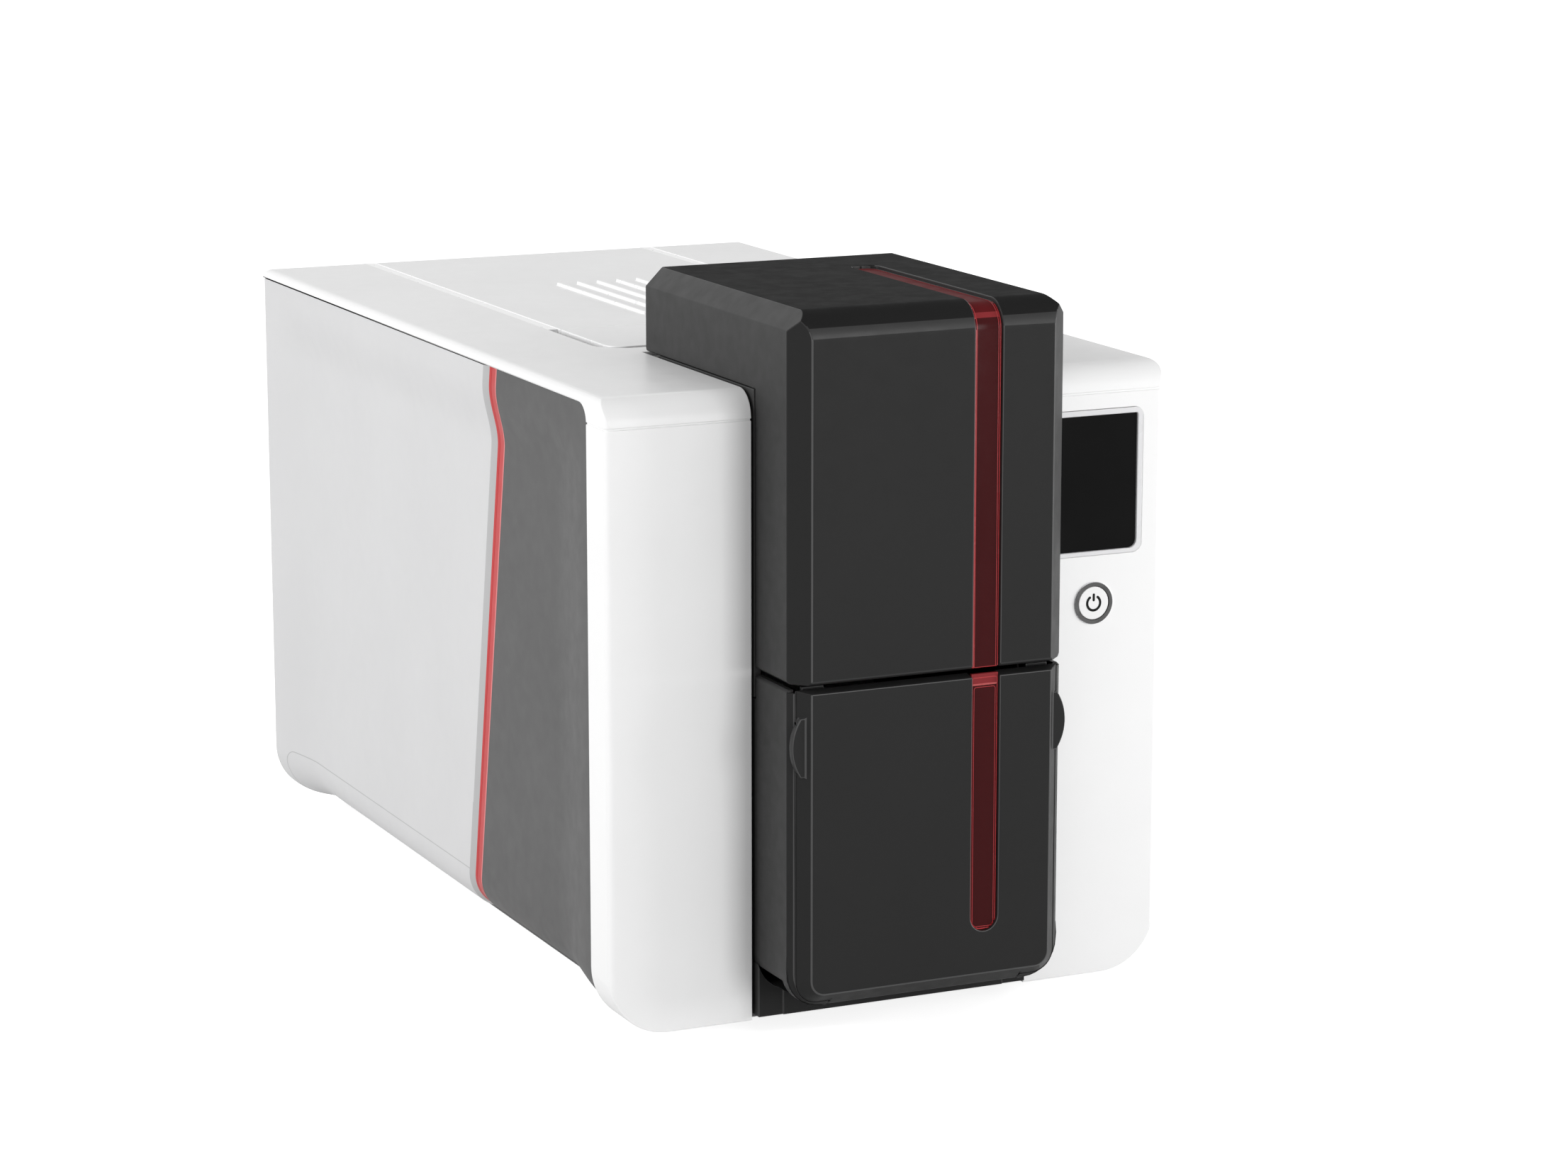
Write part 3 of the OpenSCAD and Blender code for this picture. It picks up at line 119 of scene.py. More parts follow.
class PrinterSizes(bpy.types.PropertyGroup):
    """Sizes of the softened edges and small details."""
    cover_edge: length("Cover edge", "Rounding of the white covers' sharp edges", 0.35, 0.1, 1.0)
    tower_edge: length("Tower edge", "Rounding of the black tower's edges", 0.35, 0.1, 1.0)
    window_bevel: length("Window bevel", "Bevel round the tinted windows", 0.4, 0.1, 0.9)
    panel_columns: IntProperty(name="Panel columns", description="Mesh columns along a light side panel",
                               default=96, min=24, max=200)
    panel_rows: IntProperty(name="Panel rows", description="Mesh rows from top to bottom of a side panel",
                            default=72, min=24, max=160)


class PrinterColours(bpy.types.PropertyGroup):
    """Colours of the printer's finishes."""
    white: colour("White covers", "Moulded white plastic", slot_colour("white_cover"))
    light: colour("Light panel", "Light grey side panels", shade(slot_colour("light_grey_panel"), 1.01))
    dark: colour("Dark panel", "Dark grey side panels", slot_colour("dark_grey_panel"))
    stripe: colour("Stripe", "Rear facet of the red stripe", slot_colour("stripe_red"))
    # the front facet is a lighter copy of the stripe's red: a painted highlight
    stripe_painted_highlight: colour("Stripe's light facet", "Front facet of the red stripe", (0.74, 0.22, 0.225))
    tower: colour("Tower", "Black plastic of the card tower", slot_colour("tower_black"))
    window: colour("Window", "Red tinted window", slot_colour("tinted_window"))
    # painted glow: the window's edges and the fine lines inside its border are painted brighter red
    window_edge: colour("Window edge", "Edges of the windows, where the light comes out", (0.40, 0.03, 0.035))
    # painted highlight: a pale red for the hood window's left edge line and the band on the door's window
    window_line: colour("Window line", "Line along the hood window's left edge", (0.42, 0.07, 0.07))
    glass: colour("Screen", "Black glass of the touch screen", slot_colour("screen_glass"))


# ---------------------------------------------------------------- finishes

def empty_tree(owner):
    """Turns on the nodes of a material or a world, and clears them."""
    owner.use_nodes = True
    owner.node_tree.nodes.clear()
    return owner.node_tree


def add(t, kind, inputs=None, **settings):
    """Adds a shader node. Each of its inputs gets a value, or a link from another node's output."""
    n = t.nodes.new(f"ShaderNode{kind}")
    for name, value in settings.items():
        setattr(n, name, value)
    for socket, value in (inputs or {}).items():
        if isinstance(value, bpy.types.NodeSocket):
            t.links.new(value, n.inputs[socket])
        else:
            n.inputs[socket].default_value = value
    return n


def new_material(name):
    """A material with an empty node tree, and the object's own coordinates in it."""
    m = bpy.data.materials.new(name)
    t = empty_tree(m)
    return m, t, add(t, "TexCoord").outputs["Object"]


def surface(t, inputs):
    """Adds the shader with its inputs, and the material's output."""
    shader = add(t, "BsdfPrincipled", inputs)
    add(t, "OutputMaterial", {"Surface": shader.outputs["BSDF"]})


def noise_field(t, vector, scale, detail=2.0, stretch=None):
    """A noise value; stretch scales the pattern along X, Y and Z."""
    if stretch:
        vector = add(t, "Mapping", {"Vector": vector, "Scale": stretch}).outputs["Vector"]
    return add(t, "TexNoise", {"Vector": vector, "Scale": scale, "Detail": detail}).outputs["Fac"]


def spread(t, value, low, high, start=0.3, end=0.7):
    """Maps start..end of a value to low..high."""
    limits = {"From Min": start, "From Max": end, "To Min": low, "To Max": high}
    return add(t, "MapRange", {"Value": value, **limits}).outputs["Result"]


def blend_colours(t, value, first, second):
    colours = {6: (*first, 1.0), 7: (*second, 1.0)}
    return add(t, "Mix", {"Factor": value, **colours}, data_type="RGBA").outputs[2]


def bump(t, height, depth):
    """Relief of a depth in mm."""
    return add(t, "Bump", {"Height": height, "Distance": depth * MM}).outputs["Normal"]


def moulded(name, base, rough, grain=0.35, depth=0.006, cloud=0.03, specular=0.5, coat=0.0):
    """Moulded plastic: a fine grain, a slightly cloudy colour and uneven gloss. grain and depth in mm."""
    m, t, place = new_material(name)
    clouds = spread(t, noise_field(t, place, 22.0, 3.0), 0.0, 1.0)
    surface(t, {
        "Base Color": blend_colours(t, clouds, shade(base, 1 - cloud), shade(base, 1 + cloud)),
        "Roughness": spread(t, noise_field(t, place, 160.0), rough - 0.04, rough + 0.04),
        "Normal": bump(t, noise_field(t, place, 1000.0 / grain), depth),
        "Specular IOR Level": specular,
        "Coat Weight": coat,
        "Coat Roughness": 0.12,
    })
    return m


def metal(name, base, rough, along=(1.0, 60.0, 60.0), depth=0.004):
    """Drawn or rolled metal: fine lines along one direction, and blotchy zinc."""
    m, t, place = new_material(name)
    lines = noise_field(t, place, 40.0, 3.0, along)
    patches = spread(t, noise_field(t, place, 90.0, 3.0), 0.0, 1.0)
    surface(t, {
        "Base Color": blend_colours(t, patches, shade(base, 0.88), shade(base, 1.08)),
        "Roughness": spread(t, lines, rough - 0.08, rough + 0.1),
        "Normal": bump(t, lines, depth),
        "Metallic": 1.0,
    })
    return m


def rubbery(name, base, rough, grain=0.5, depth=0.02):
    """Ground or moulded rubber with a dusty sheen."""
    m, t, place = new_material(name)
    dust = noise_field(t, place, 60.0, 4.0)
    surface(t, {
        "Base Color": blend_colours(t, spread(t, dust, 0.0, 1.0), base, shade(base, 1.6)),
        "Roughness": spread(t, dust, rough, rough + 0.12),
        "Normal": bump(t, noise_field(t, place, 1000.0 / grain, 3.0), depth),
        "Specular IOR Level": 0.35,
    })
    return m


def tinted(name, base, deep):
    """Tinted acrylic: red in the plate, with faint flow lines from the mould."""
    m, t, place = new_material(name)
    flow = noise_field(t, place, 30.0, 2.0, (1.0, 1.0, 0.25))
    surface(t, {
        "Base Color": blend_colours(t, spread(t, flow, 0.0, 1.0), deep, base),
        "Roughness": spread(t, noise_field(t, place, 240.0, 1.0), 0.12, 0.2),
        "Normal": bump(t, flow, 0.01),
        "Transmission Weight": 0.2,
        "IOR": 1.3,
        "Specular IOR Level": 0.12,
    })
    return m


def solder_mask(name, base):
    """Circuit board: green solder mask with raised copper tracks under it."""
    m, t, place = new_material(name)
    cells = add(t, "TexVoronoi", {"Vector": place, "Scale": 260.0}, distance="MANHATTAN", feature="F2")
    tracks = spread(t, cells.outputs["Distance"], 0.0, 1.0, 0.62, 0.72)
    surface(t, {
        "Base Color": blend_colours(t, tracks, base, shade(base, 2.1)),
        "Roughness": spread(t, noise_field(t, place, 300.0), 0.25, 0.4),
        "Normal": bump(t, tracks, 0.03),
    })
    return m


def wound_film(name, base):
    """Wound ribbon film: glossy, with fine turns on the ends and faint bands along the roll."""
    m, t, place = new_material(name)
    bands = add(t, "TexWave", {"Vector": place, "Scale": 2500.0, "Distortion": 0.6},
                wave_type="RINGS", rings_direction="X").outputs["Fac"]
    surface(t, {
        "Base Color": blend_colours(t, bands, base, shade(base, 1.7)),
        "Roughness": spread(t, noise_field(t, place, 90.0), 0.16, 0.3),
        "Normal": bump(t, bands, 0.01),
    })
    return m


def finish_table():
    """Each finish's maker, what it is given, and its further settings."""
    c = bpy.context.scene.printer_colours
    slot = slot_colour
    black = (0.008, 0.008, 0.008)
    return {
        # the covers and the side panels
        "white_cover": (moulded, (c.white, 0.38), dict(grain=0.5, depth=0.010, cloud=0.012, specular=0.4)),
        # painted highlight: a brighter, glossier white for the groove round the lid and its lips
        "groove_white": (moulded, ((0.97, 0.97, 0.97), 0.30),
                         dict(grain=0.6, depth=0.004, cloud=0.005, specular=1.0)),
        "light_grey_panel": (moulded, (c.light, 0.45), dict(grain=0.5, depth=0.008, cloud=0.012, specular=0.35)),
        # painted shade: a darker copy of the light panel's grey for its sloping border
        "border_grey": (moulded, (shade(slot("light_grey_panel"), 0.72), 0.45),
                        dict(grain=0.5, depth=0.004, cloud=0.02)),
        "parting_grey": (moulded, (shade(c.light, 0.72), 0.5),
                         dict(grain=0.6, depth=0.004, cloud=0.02, specular=0.3)),
        "dark_grey_panel": (moulded, (c.dark, 0.50), dict(grain=0.45, depth=0.008, cloud=0.04, specular=0.15)),
        "stripe_red": (moulded, (c.stripe, 0.34), dict(grain=0.8, depth=0.003, specular=0.3)),
        # the stripe's front facet: a painted highlight
        "stripe_red_light": (moulded, (c.stripe_painted_highlight, 0.34), dict(grain=0.8, depth=0.003, specular=0.3)),
        "seam_shadow": (moulded, (black, 0.7), dict(grain=0.6, depth=0.01, cloud=0.1, specular=0.1)),
        # the tower and its windows
        "tower_black": (moulded, (c.tower, 0.42), dict(depth=0.010, specular=0.3)),
        # painted highlight: a lighter copy of the tower black, for the roundings round the front and the lit wall
        # of the hood's slot
        "tower_edge": (moulded, (shade(c.tower, 3.0), 0.40), dict(depth=0.004, specular=0.4)),
        "tower_front": (moulded, (c.tower, 0.46), dict(depth=0.012, specular=0.11)),
        "tower_top": (moulded, (c.tower, 0.60), dict(depth=0.016, specular=0.012)),
        "tinted_window": (tinted, (shade(c.window, 0.50), shade(c.window, 0.36)), {}),
        # painted glow on the windows' edges and fine lines
        "window_edge": (moulded, (c.window_edge, 0.25), dict(grain=1.5, depth=0.004, cloud=0.1, specular=0.3)),
        # painted shade and highlight: a darker matt copy of the window red for its top, a brighter copy for its
        # bend and the door window's top end
        "window_top": (moulded, (shade(c.window, 0.8), 0.5), dict(grain=1.5, depth=0.002, specular=0.02)),
        "window_bend": (moulded, (shade(c.window, 1.8), 0.35), dict(grain=1.5, depth=0.002, specular=0.1)),
        # painted highlight on the window lines
        "window_line": (moulded, (c.window_line, 0.25), dict(grain=1.5, depth=0.004, cloud=0.05, specular=0.3)),
        # the screen and the button
        "screen_glass": (moulded, (c.glass, 0.08), dict(grain=4.0, depth=0.001, cloud=0.2, specular=0.05)),
        "bezel_grey": (moulded, (slot("bezel_grey"), 0.3), dict(grain=0.5)),
        "ring_metal": (metal, ((0.085, 0.085, 0.085), 0.30), dict(along=(9.0, 9.0, 9.0), depth=0.01)),
        "button_white": (moulded, (c.white, 0.26), dict(grain=0.8, depth=0.003, cloud=0.01, specular=0.4)),
        "symbol_ink": (moulded, (black, 0.5), dict(grain=0.3, depth=0.002, cloud=0.1, specular=0.1)),
        # the inside and the rear
        "inner_black": (moulded, (slot("inner_black"), 0.55),
                        dict(grain=0.6, depth=0.02, cloud=0.10, specular=0.25)),
        "frame_steel": (metal, (slot("frame_steel"), 0.36), {}),
        "turned_steel": (metal, ((0.66, 0.67, 0.69), 0.24), dict(along=(60.0, 1.0, 1.0))),
        "connector_metal": (metal, (slot("connector_metal"), 0.22), dict(along=(30.0, 1.0, 30.0), depth=0.002)),
        "foot_rubber": (rubbery, (slot("foot_rubber"), 0.68), {}),
        "roller_rubber": (rubbery, (slot("roller_rubber"), 0.55), dict(grain=0.3, depth=0.03)),
        "cleaning_rubber": (rubbery, (slot("cleaning_rubber"), 0.25), dict(grain=1.0, depth=0.004)),
        "gear_nylon": (moulded, (slot("gear_nylon"), 0.45), dict(grain=0.8)),
        "spool_nylon": (moulded, (slot("spool_nylon"), 0.4), dict(grain=0.7, depth=0.008)),
        "ribbon_film": (wound_film, ((0.035, 0.035, 0.06),), {}),
        "board_green": (solder_mask, (slot("board_green"),), {}),
        "chip_black": (moulded, ((0.03, 0.03, 0.032), 0.5), dict(grain=0.3, depth=0.02, cloud=0.15)),
        "can_silver": (metal, ((0.72, 0.73, 0.75), 0.3), dict(along=(1.0, 40.0, 40.0))),
        "heater_glaze": (moulded, ((0.16, 0.10, 0.05), 0.12), dict(grain=2.0, depth=0.002, cloud=0.2, coat=0.5)),
    }


def finish(key):
    """The finish of that name, made once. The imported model's own plain materials have the slots' names."""
    name = f"{key}_finish"
    if name not in bpy.data.materials:
        maker, given, settings = finish_table()[key]
        maker(name, *given, **settings)
    return bpy.data.materials[name]


# ---------------------------------------------------------------- meshes

def flat_faces(node):
    """A node's mesh with its triangles merged back into the flat faces they came from."""
    bm = bmesh.new()
    bm.from_mesh(NODES[node].data)
    bmesh.ops.remove_doubles(bm, verts=bm.verts, dist=2e-6)
    bmesh.ops.dissolve_limit(bm, angle_limit=math.radians(0.5), verts=bm.verts, edges=bm.edges,
                             delimit={"NORMAL"})
    bmesh.ops.recalc_face_normals(bm, faces=bm.faces)
    return bm


def soften(bm, width, segments, sharper):
    """Rounds the edges that turn by more than an angle, both inside and outside corners."""
    limit = math.radians(sharper)
    edges = [e for e in bm.edges if len(e.link_faces) == 2 and e.calc_face_angle(0.0) > limit]
    before = BVHTree.FromBMesh(bm)
    bmesh.ops.bevel(bm, geom=edges, offset=width, offset_type="OFFSET", segments=segments, profile=0.5,
                    affect="EDGES", clamp_overlap=False, material=-1, loop_slide=True)
    # a rounding that overshoots at a narrow corner goes back to the surface
    for v in bm.verts:
        near, _, _, far = before.find_nearest(v.co)
        if far > 1.2 * width:
            v.co = near


def round_rect(x0, x1, z0, z1, r, steps=8, top=None):
    """Corner points of a rounded rectangle in X and Z, in mm. Its upper corners may have their own radius."""
    t = r if top is None else max(top, 0.3)
    points = []
    for cx, cz, radius, start in ((x1 - t, z1 - t, t, 0), (x0 + t, z1 - t, t, 90),
                                  (x0 + r, z0 + r, r, 180), (x1 - r, z0 + r, r, 270)):
        for i in range(steps + 1):
            a = math.radians(start + 90 * i / steps)
            points.append((cx + radius * math.cos(a), cz + radius * math.sin(a)))
    return points


def ring_solid(section, outline):
    """A closed ring. Each point (inset, y) of its section runs once round the outline at that inset."""
    bm = bmesh.new()
    loops = [[bm.verts.new(at(x, y, z)) for x, z in outline(inset)] for inset, y in section]
    n = len(loops[0])
    for a, b in zip(loops, loops[1:] + loops[:1]):
        for i in range(n):
            k = (i + 1) % n
            bm.faces.new((a[i], a[k], b[k], b[i]))
    bmesh.ops.recalc_face_normals(bm, faces=bm.faces)
    return bm


def prism(bm, lower, upper):
    """Adds a closed solid between two outlines with as many points."""
    a = [bm.verts.new(p) for p in lower]
    b = [bm.verts.new(p) for p in upper]
    bm.faces.new(a)
    bm.faces.new(list(reversed(b)))
    for i in range(len(a)):
        k = (i + 1) % len(a)
        bm.faces.new((a[i], b[i], b[k], a[k]))
    return bm


def bar_through(bm, stations):
    """Adds a closed bar that runs through four-cornered stations."""
    loops = [[bm.verts.new(p) for p in corners] for corners in stations]
    for a, b in zip(loops, loops[1:]):
        for i in range(4):
            k = (i + 1) % 4
            bm.faces.new((a[i], a[k], b[k], b[i]))
    bm.faces.new(loops[0])
    bm.faces.new(list(reversed(loops[-1])))
    return bm


def line_on(bm, path, normals, width, lift, sink):
    """Adds a fine line of a given width that lies on a surface along a path. All in metres."""
    stations = []
    for i, (p, n) in enumerate(zip(path, normals)):
        along = (path[min(i + 1, len(path) - 1)] - path[max(i - 1, 0)]).normalized()
        side = along.cross(n).normalized() * (width / 2)
        stations.append((p - side + n * lift, p + side + n * lift, p + side - n * sink, p - side - n * sink))
    return bar_through(bm, stations)


def piece(name, bm, body, *finishes, slot=None, sharper=50.0, weighted=True):
    """Turns a built mesh into an object that rides on a body."""
    for f in bm.faces:
        f.smooth = True
    limit = math.radians(sharper)
    for e in bm.edges:
        e.smooth = len(e.link_faces) == 2 and e.calc_face_angle(0.0) < limit
    mesh = bpy.data.meshes.new(name)
    bm.to_mesh(mesh)
    bm.free()
    o = bpy.data.objects.new(name, mesh)
    bpy.context.scene.collection.objects.link(o)
    for key in finishes:
        mesh.materials.append(finish(key))
    if weighted:
        w = o.modifiers.new("weighted", "WEIGHTED_NORMAL")
        w.keep_sharp = True
    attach(o, body)
    return o


def fitting(name, bm, body, key, slot=None):
    """Turns a small mesh of closed solids into an object that rides on a body."""
    bmesh.ops.recalc_face_normals(bm, faces=bm.faces)
    return piece(name, bm, body, key, slot=slot, weighted=False)


def place_finishes(bm, rules):
    """Gives each face the finish of the first rule whose test holds for its middle and direction."""
    for f in bm.faces:
        c = f.calc_center_median()
        p = Vector((c.x / MM, (c.y - FRONT_Y) / MM, (c.z - UNDER_Z) / MM))
        for index, test in enumerate(rules, 1):
            if test(p, f.normal):
                f.material_index = index
                break


def softened(node, width, *finishes, segments=2, sharper=32.0, rules=()):
    """Stands for a CAD node with the same shape and softened edges."""
    bm = flat_faces(node)
    soften(bm, width, segments, sharper)
    place_finishes(bm, rules)
    o = piece(f"{node}_soft", bm, body_of(node), *(finishes or (slot_of(node),)), slot=slot_of(node))
    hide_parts(node)


def beyond(node, radius):
    """A test whether a place lies farther than a radius, in mm, from the middle line of a node along X."""
    _, _, y0, y1, z0, z1 = span(node)
    return lambda p: math.hypot(p.y - (y0 + y1) / 2, p.z - (z0 + z1) / 2) > radius


def keep(node, key=None):
    """Keeps a CAD node's shape and gives it its finish."""
    materials = NODES[node].data.materials
    materials.clear()
    materials.append(finish(key or slot_of(node)))


# ---------------------------------------------------------------- side panels

HALF_W = span("fascia_right")[1]
RIM = -span("panel_left_rear")[0]               # outermost place of a side panel
PANEL_FRONT = span("panel_left_front")[2]
PANEL_TOP = span("panel_left_front")[5]
PANEL_BACK = span("panel_left_rear")[3]
CORNER = 21.0           # radius of the body's lower corner
ROLL = RIM - (HALF_W - CORNER)
ROLL_END = math.radians(88)
STRAIGHT = PANEL_TOP - CORNER
DISH = 4.5              # depth of the dish
RIM_W = 2.0             # flat rim in front of and behind the dish
TOP_RIM = 6.0           # flat rim above it
FRONT_RAMP = 40.0       # lengths of the dish's slopes
REAR_RAMP = 38.0
TOP_RAMP = 23.0
STRIPE_TOP = 99.5       # where the stripe starts behind the front, and how far it leans back on its way down
STRIPE_LEAN = 0.178
STRIPE = 5.6            # widths of the stripe and of the light panel's sloping border behind it
BORDER = 4.7
GAP = 0.1               # between the stripe and its neighbours
PROUD = 0.8             # the light panel over the dark one, the stripe's valley, and its rear edge
VALLEY = 1.6
VALLEY_END = 1.3
WALL = 2.5
SKIRT_ROUND = 5.5       # round corner of the cover's skirt over the dark panel


def smooth_step(a, b, v):
    t = max(0.0, min(1.0, (v - a) / (b - a)))
    return t * t * (3 - 2 * t)


def lerp(a, b, t):
    return a + (b - a) * t


def stripe_at(z):
    """Where the stripe's front edge lies at a height."""
    return STRIPE_TOP + STRIPE_LEAN * (PANEL_TOP - z)


def dish_at(y, z):
    """Depth of the dish."""
    return (DISH * smooth_step(PANEL_TOP - TOP_RIM, PANEL_TOP - TOP_RIM - TOP_RAMP, z)
            * smooth_step(PANEL_FRONT + RIM_W, PANEL_FRONT + RIM_W + FRONT_RAMP, y)
            * (1 - smooth_step(PANEL_BACK - RIM_W - REAR_RAMP, PANEL_BACK - RIM_W, y)))


def relief_at(y, z):
    """Depth below the light panel's rim: the dark panel, the stripe's V and the sloping border."""
    u = y - stripe_at(z)
    if u <= 0:
        return PROUD
    if u < STRIPE / 2:
        return lerp(PROUD, VALLEY, u / (STRIPE / 2))
    if u < STRIPE:
        return lerp(VALLEY, VALLEY_END, (u - STRIPE / 2) / (STRIPE / 2))
    return VALLEY_END * max(0.0, 1 - (u - STRIPE) / BORDER)


def row_height(along):
    """The height at which a place of the skin takes its dish and its stripe."""
    if along <= STRAIGHT:
        return PANEL_TOP - along
    return CORNER - (ROLL - DISH) * math.sin(min((along - STRAIGHT) / ROLL, ROLL_END))


def panel_point(along, y, inset):
    """A point of the panel's skin; along runs from 0 at the top edge down and round the roll, in mm."""
    z = row_height(along)
    depth = dish_at(y, z) + relief_at(y, z) + inset
    if along <= STRAIGHT:
        return at(-(RIM - depth), y, z)
    angle = min((along - STRAIGHT) / ROLL, ROLL_END)
    r = ROLL - depth
    return at(-(HALF_W - CORNER + r * math.cos(angle)), y, CORNER - r * math.sin(angle))


def panel_rows(count):
    """Places of the rows down the panel: close together on the upper slope and round the roll."""
    slope_end = TOP_RIM + TOP_RAMP + 1.0
    end = STRAIGHT + ROLL * ROLL_END
    rows = []
    for a, b, share in ((0.0, slope_end, 0.3), (slope_end, STRAIGHT, 0.25), (STRAIGHT, end, 0.45)):
        rows += [lerp(a, b, i / (count * share)) for i in range(int(count * share))]
    return rows + [end]


def skin_mesh(rows, columns, y_of, facets=1):
    """A closed panel WALL thick. y_of(z, j) is the place of column j. Its top rim has the next finish."""
    bm = bmesh.new()
    outer, inner = ([[bm.verts.new(panel_point(a, y_of(row_height(a), j), inset)) for j in columns]
                     for a in rows] for inset in (0.0, WALL))
    n, m = len(rows), len(columns)
    for i in range(n - 1):
        for j in range(m - 1):
            for corners in ((outer[i][j], outer[i][j + 1], outer[i + 1][j + 1], outer[i + 1][j]),
                            (inner[i][j], inner[i + 1][j], inner[i + 1][j + 1], inner[i][j + 1])):
                bm.faces.new(corners).material_index = min(j, facets - 1)
    for i in range(n - 1):
        bm.faces.new((outer[i][0], outer[i + 1][0], inner[i + 1][0], inner[i][0]))
        bm.faces.new((outer[i][-1], inner[i][-1], inner[i + 1][-1], outer[i + 1][-1]))
    for j in range(m - 1):
        rim = bm.faces.new((outer[0][j], inner[0][j], inner[0][j + 1], outer[0][j + 1]))
        rim.material_index = facets
        bm.faces.new((outer[-1][j], outer[-1][j + 1], inner[-1][j + 1], inner[-1][j]))
    bmesh.ops.recalc_face_normals(bm, faces=bm.faces)
    return bm


def mirrored(bm):
    """The same mesh on the printer's other side."""
    bmesh.ops.transform(bm, matrix=Matrix.Scale(-1, 4, Vector((1, 0, 0))), verts=bm.verts)
    bmesh.ops.reverse_faces(bm, faces=bm.faces)
    return bm


# ---------------------------------------------------------------- the stage

LENS = 98.597                                   # mm, on a sensor 36 mm wide
CAMERA_PLACE = (-0.61786, -1.41139, 0.44248)
CAMERA_TURN = (90 - 11.91, 0.0, -24.8)          # degrees
WORLD_LEVEL = 0.57                              # light of the world on the covers
FLOOR_GREY = 0.8
FLOOR_GLOW = 0.3                                # the floor's own light in all rays that see it as background
FLOOR_CAMERA_GLOW = 0.5                         # and what the camera sees on top of it
LAMP_TARGET = Vector((0.0, 0.0, 0.12))
LAMPS = (                                       # name, place, size in m, power in W
    ("soft_box_right", (1.95, -1.1, 0.3), 1.0, 26.0),
    ("soft_box_left", (-2.05, 0.0, 0.95), 1.2, 26.8),
    ("soft_box_front", (0.6, -2.35, 0.4), 0.8, 15.5),
)


class PRINTER_OT_stage(bpy.types.Operator):
    """Puts the printer on a white floor, in plain soft light, in front of its camera"""
    bl_idname = "printer.stage"
    bl_label = "Stage, lights and camera"

    def execute(self, context):
        scene = context.scene
        scene.view_settings.view_transform = "Standard"
        self.camera(scene)
        self.world(scene)
        self.floor(scene)
        for lamp in LAMPS:
            self.soft_box(scene, *lamp)
        return {"FINISHED"}

    @staticmethod
    def camera(scene):
        data = bpy.data.cameras.new("camera")
        data.sensor_fit = "HORIZONTAL"
        data.sensor_width = 36.0
        data.lens = LENS
        data.clip_start, data.clip_end = 0.05, 50.0
        camera = bpy.data.objects.new("camera", data)
        camera.location = CAMERA_PLACE
        camera.rotation_euler = [math.radians(a) for a in CAMERA_TURN]
        scene.collection.objects.link(camera)
        scene.camera = camera

    @classmethod
    def world(cls, scene):
        """White behind the object and in its reflections, a plain level for the rest."""
        scene.world = bpy.data.worlds.new("studio")
        t = empty_tree(scene.world)
        white = (1.0, 1.0, 1.0, 1.0)
        soft = add(t, "Background", {"Color": white, "Strength": WORLD_LEVEL})
        seen = add(t, "Background", {"Color": white, "Strength": 1.0})
        mix = add(t, "MixShader", {"Fac": cls.white_rays(t), 1: soft.outputs[0], 2: seen.outputs[0]})
        add(t, "OutputWorld", {"Surface": mix.outputs[0]})

    @classmethod
    def floor(cls, scene):
        """A floor that keeps the printer's shadow, and is as white as the background round it."""
        bm = bmesh.new()
        bmesh.ops.create_grid(bm, x_segments=8, y_segments=8, size=6.0)
        mesh = bpy.data.meshes.new("floor")
        bm.to_mesh(mesh)
        bm.free()
        floor = bpy.data.objects.new("floor", mesh)
        scene.collection.objects.link(floor)
        m = bpy.data.materials.new("floor_white")
        t = empty_tree(m)
        matt = add(t, "BsdfDiffuse", {"Color": (FLOOR_GREY, FLOOR_GREY, FLOOR_GREY, 1.0)})
        level = add(t, "Math", {0: cls.white_rays(t), 1: FLOOR_GLOW}, operation="MULTIPLY")
        seen = add(t, "Math", {0: add(t, "LightPath").outputs["Is Camera Ray"], 1: FLOOR_CAMERA_GLOW,
                               2: level.outputs[0]}, operation="MULTIPLY_ADD")
        glow = add(t, "Emission", {"Strength": seen.outputs[0]})
        both = add(t, "AddShader", {0: matt.outputs[0], 1: glow.outputs[0]})
        add(t, "OutputMaterial", {"Surface": both.outputs[0]})
        mesh.materials.append(m)

    @staticmethod
    def soft_box(scene, name, place, size, power):
        lamp = bpy.data.lights.new(name, "AREA")
        lamp.shape = "SQUARE"
        lamp.size = size
        lamp.energy = power
        o = bpy.data.objects.new(name, lamp)
        o.location = place
        o.rotation_mode = "QUATERNION"
        o.rotation_quaternion = (LAMP_TARGET - Vector(place)).to_track_quat("-Z", "Y")
        scene.collection.objects.link(o)

    @staticmethod
    def white_rays(t):
        """1 for the rays that see the background: camera, glossy and transmission rays."""
        path = add(t, "LightPath")
        total = path.outputs["Is Camera Ray"]
        for ray in ("Is Glossy Ray", "Is Transmission Ray"):
            total = add(t, "Math", {0: total, 1: path.outputs[ray]}, operation="MAXIMUM").outputs[0]
        return total


# ---------------------------------------------------------------- the pieces

SEAM = 0.5              # seam under the top cover's front cap
WELL_GROOVE = 4.0       # width of the groove beside the lid
LIP_PLAY = 0.12         # between the lid and the lips in that groove
LIP_SINK = 0.2          # how far a lip runs into the piece that holds it


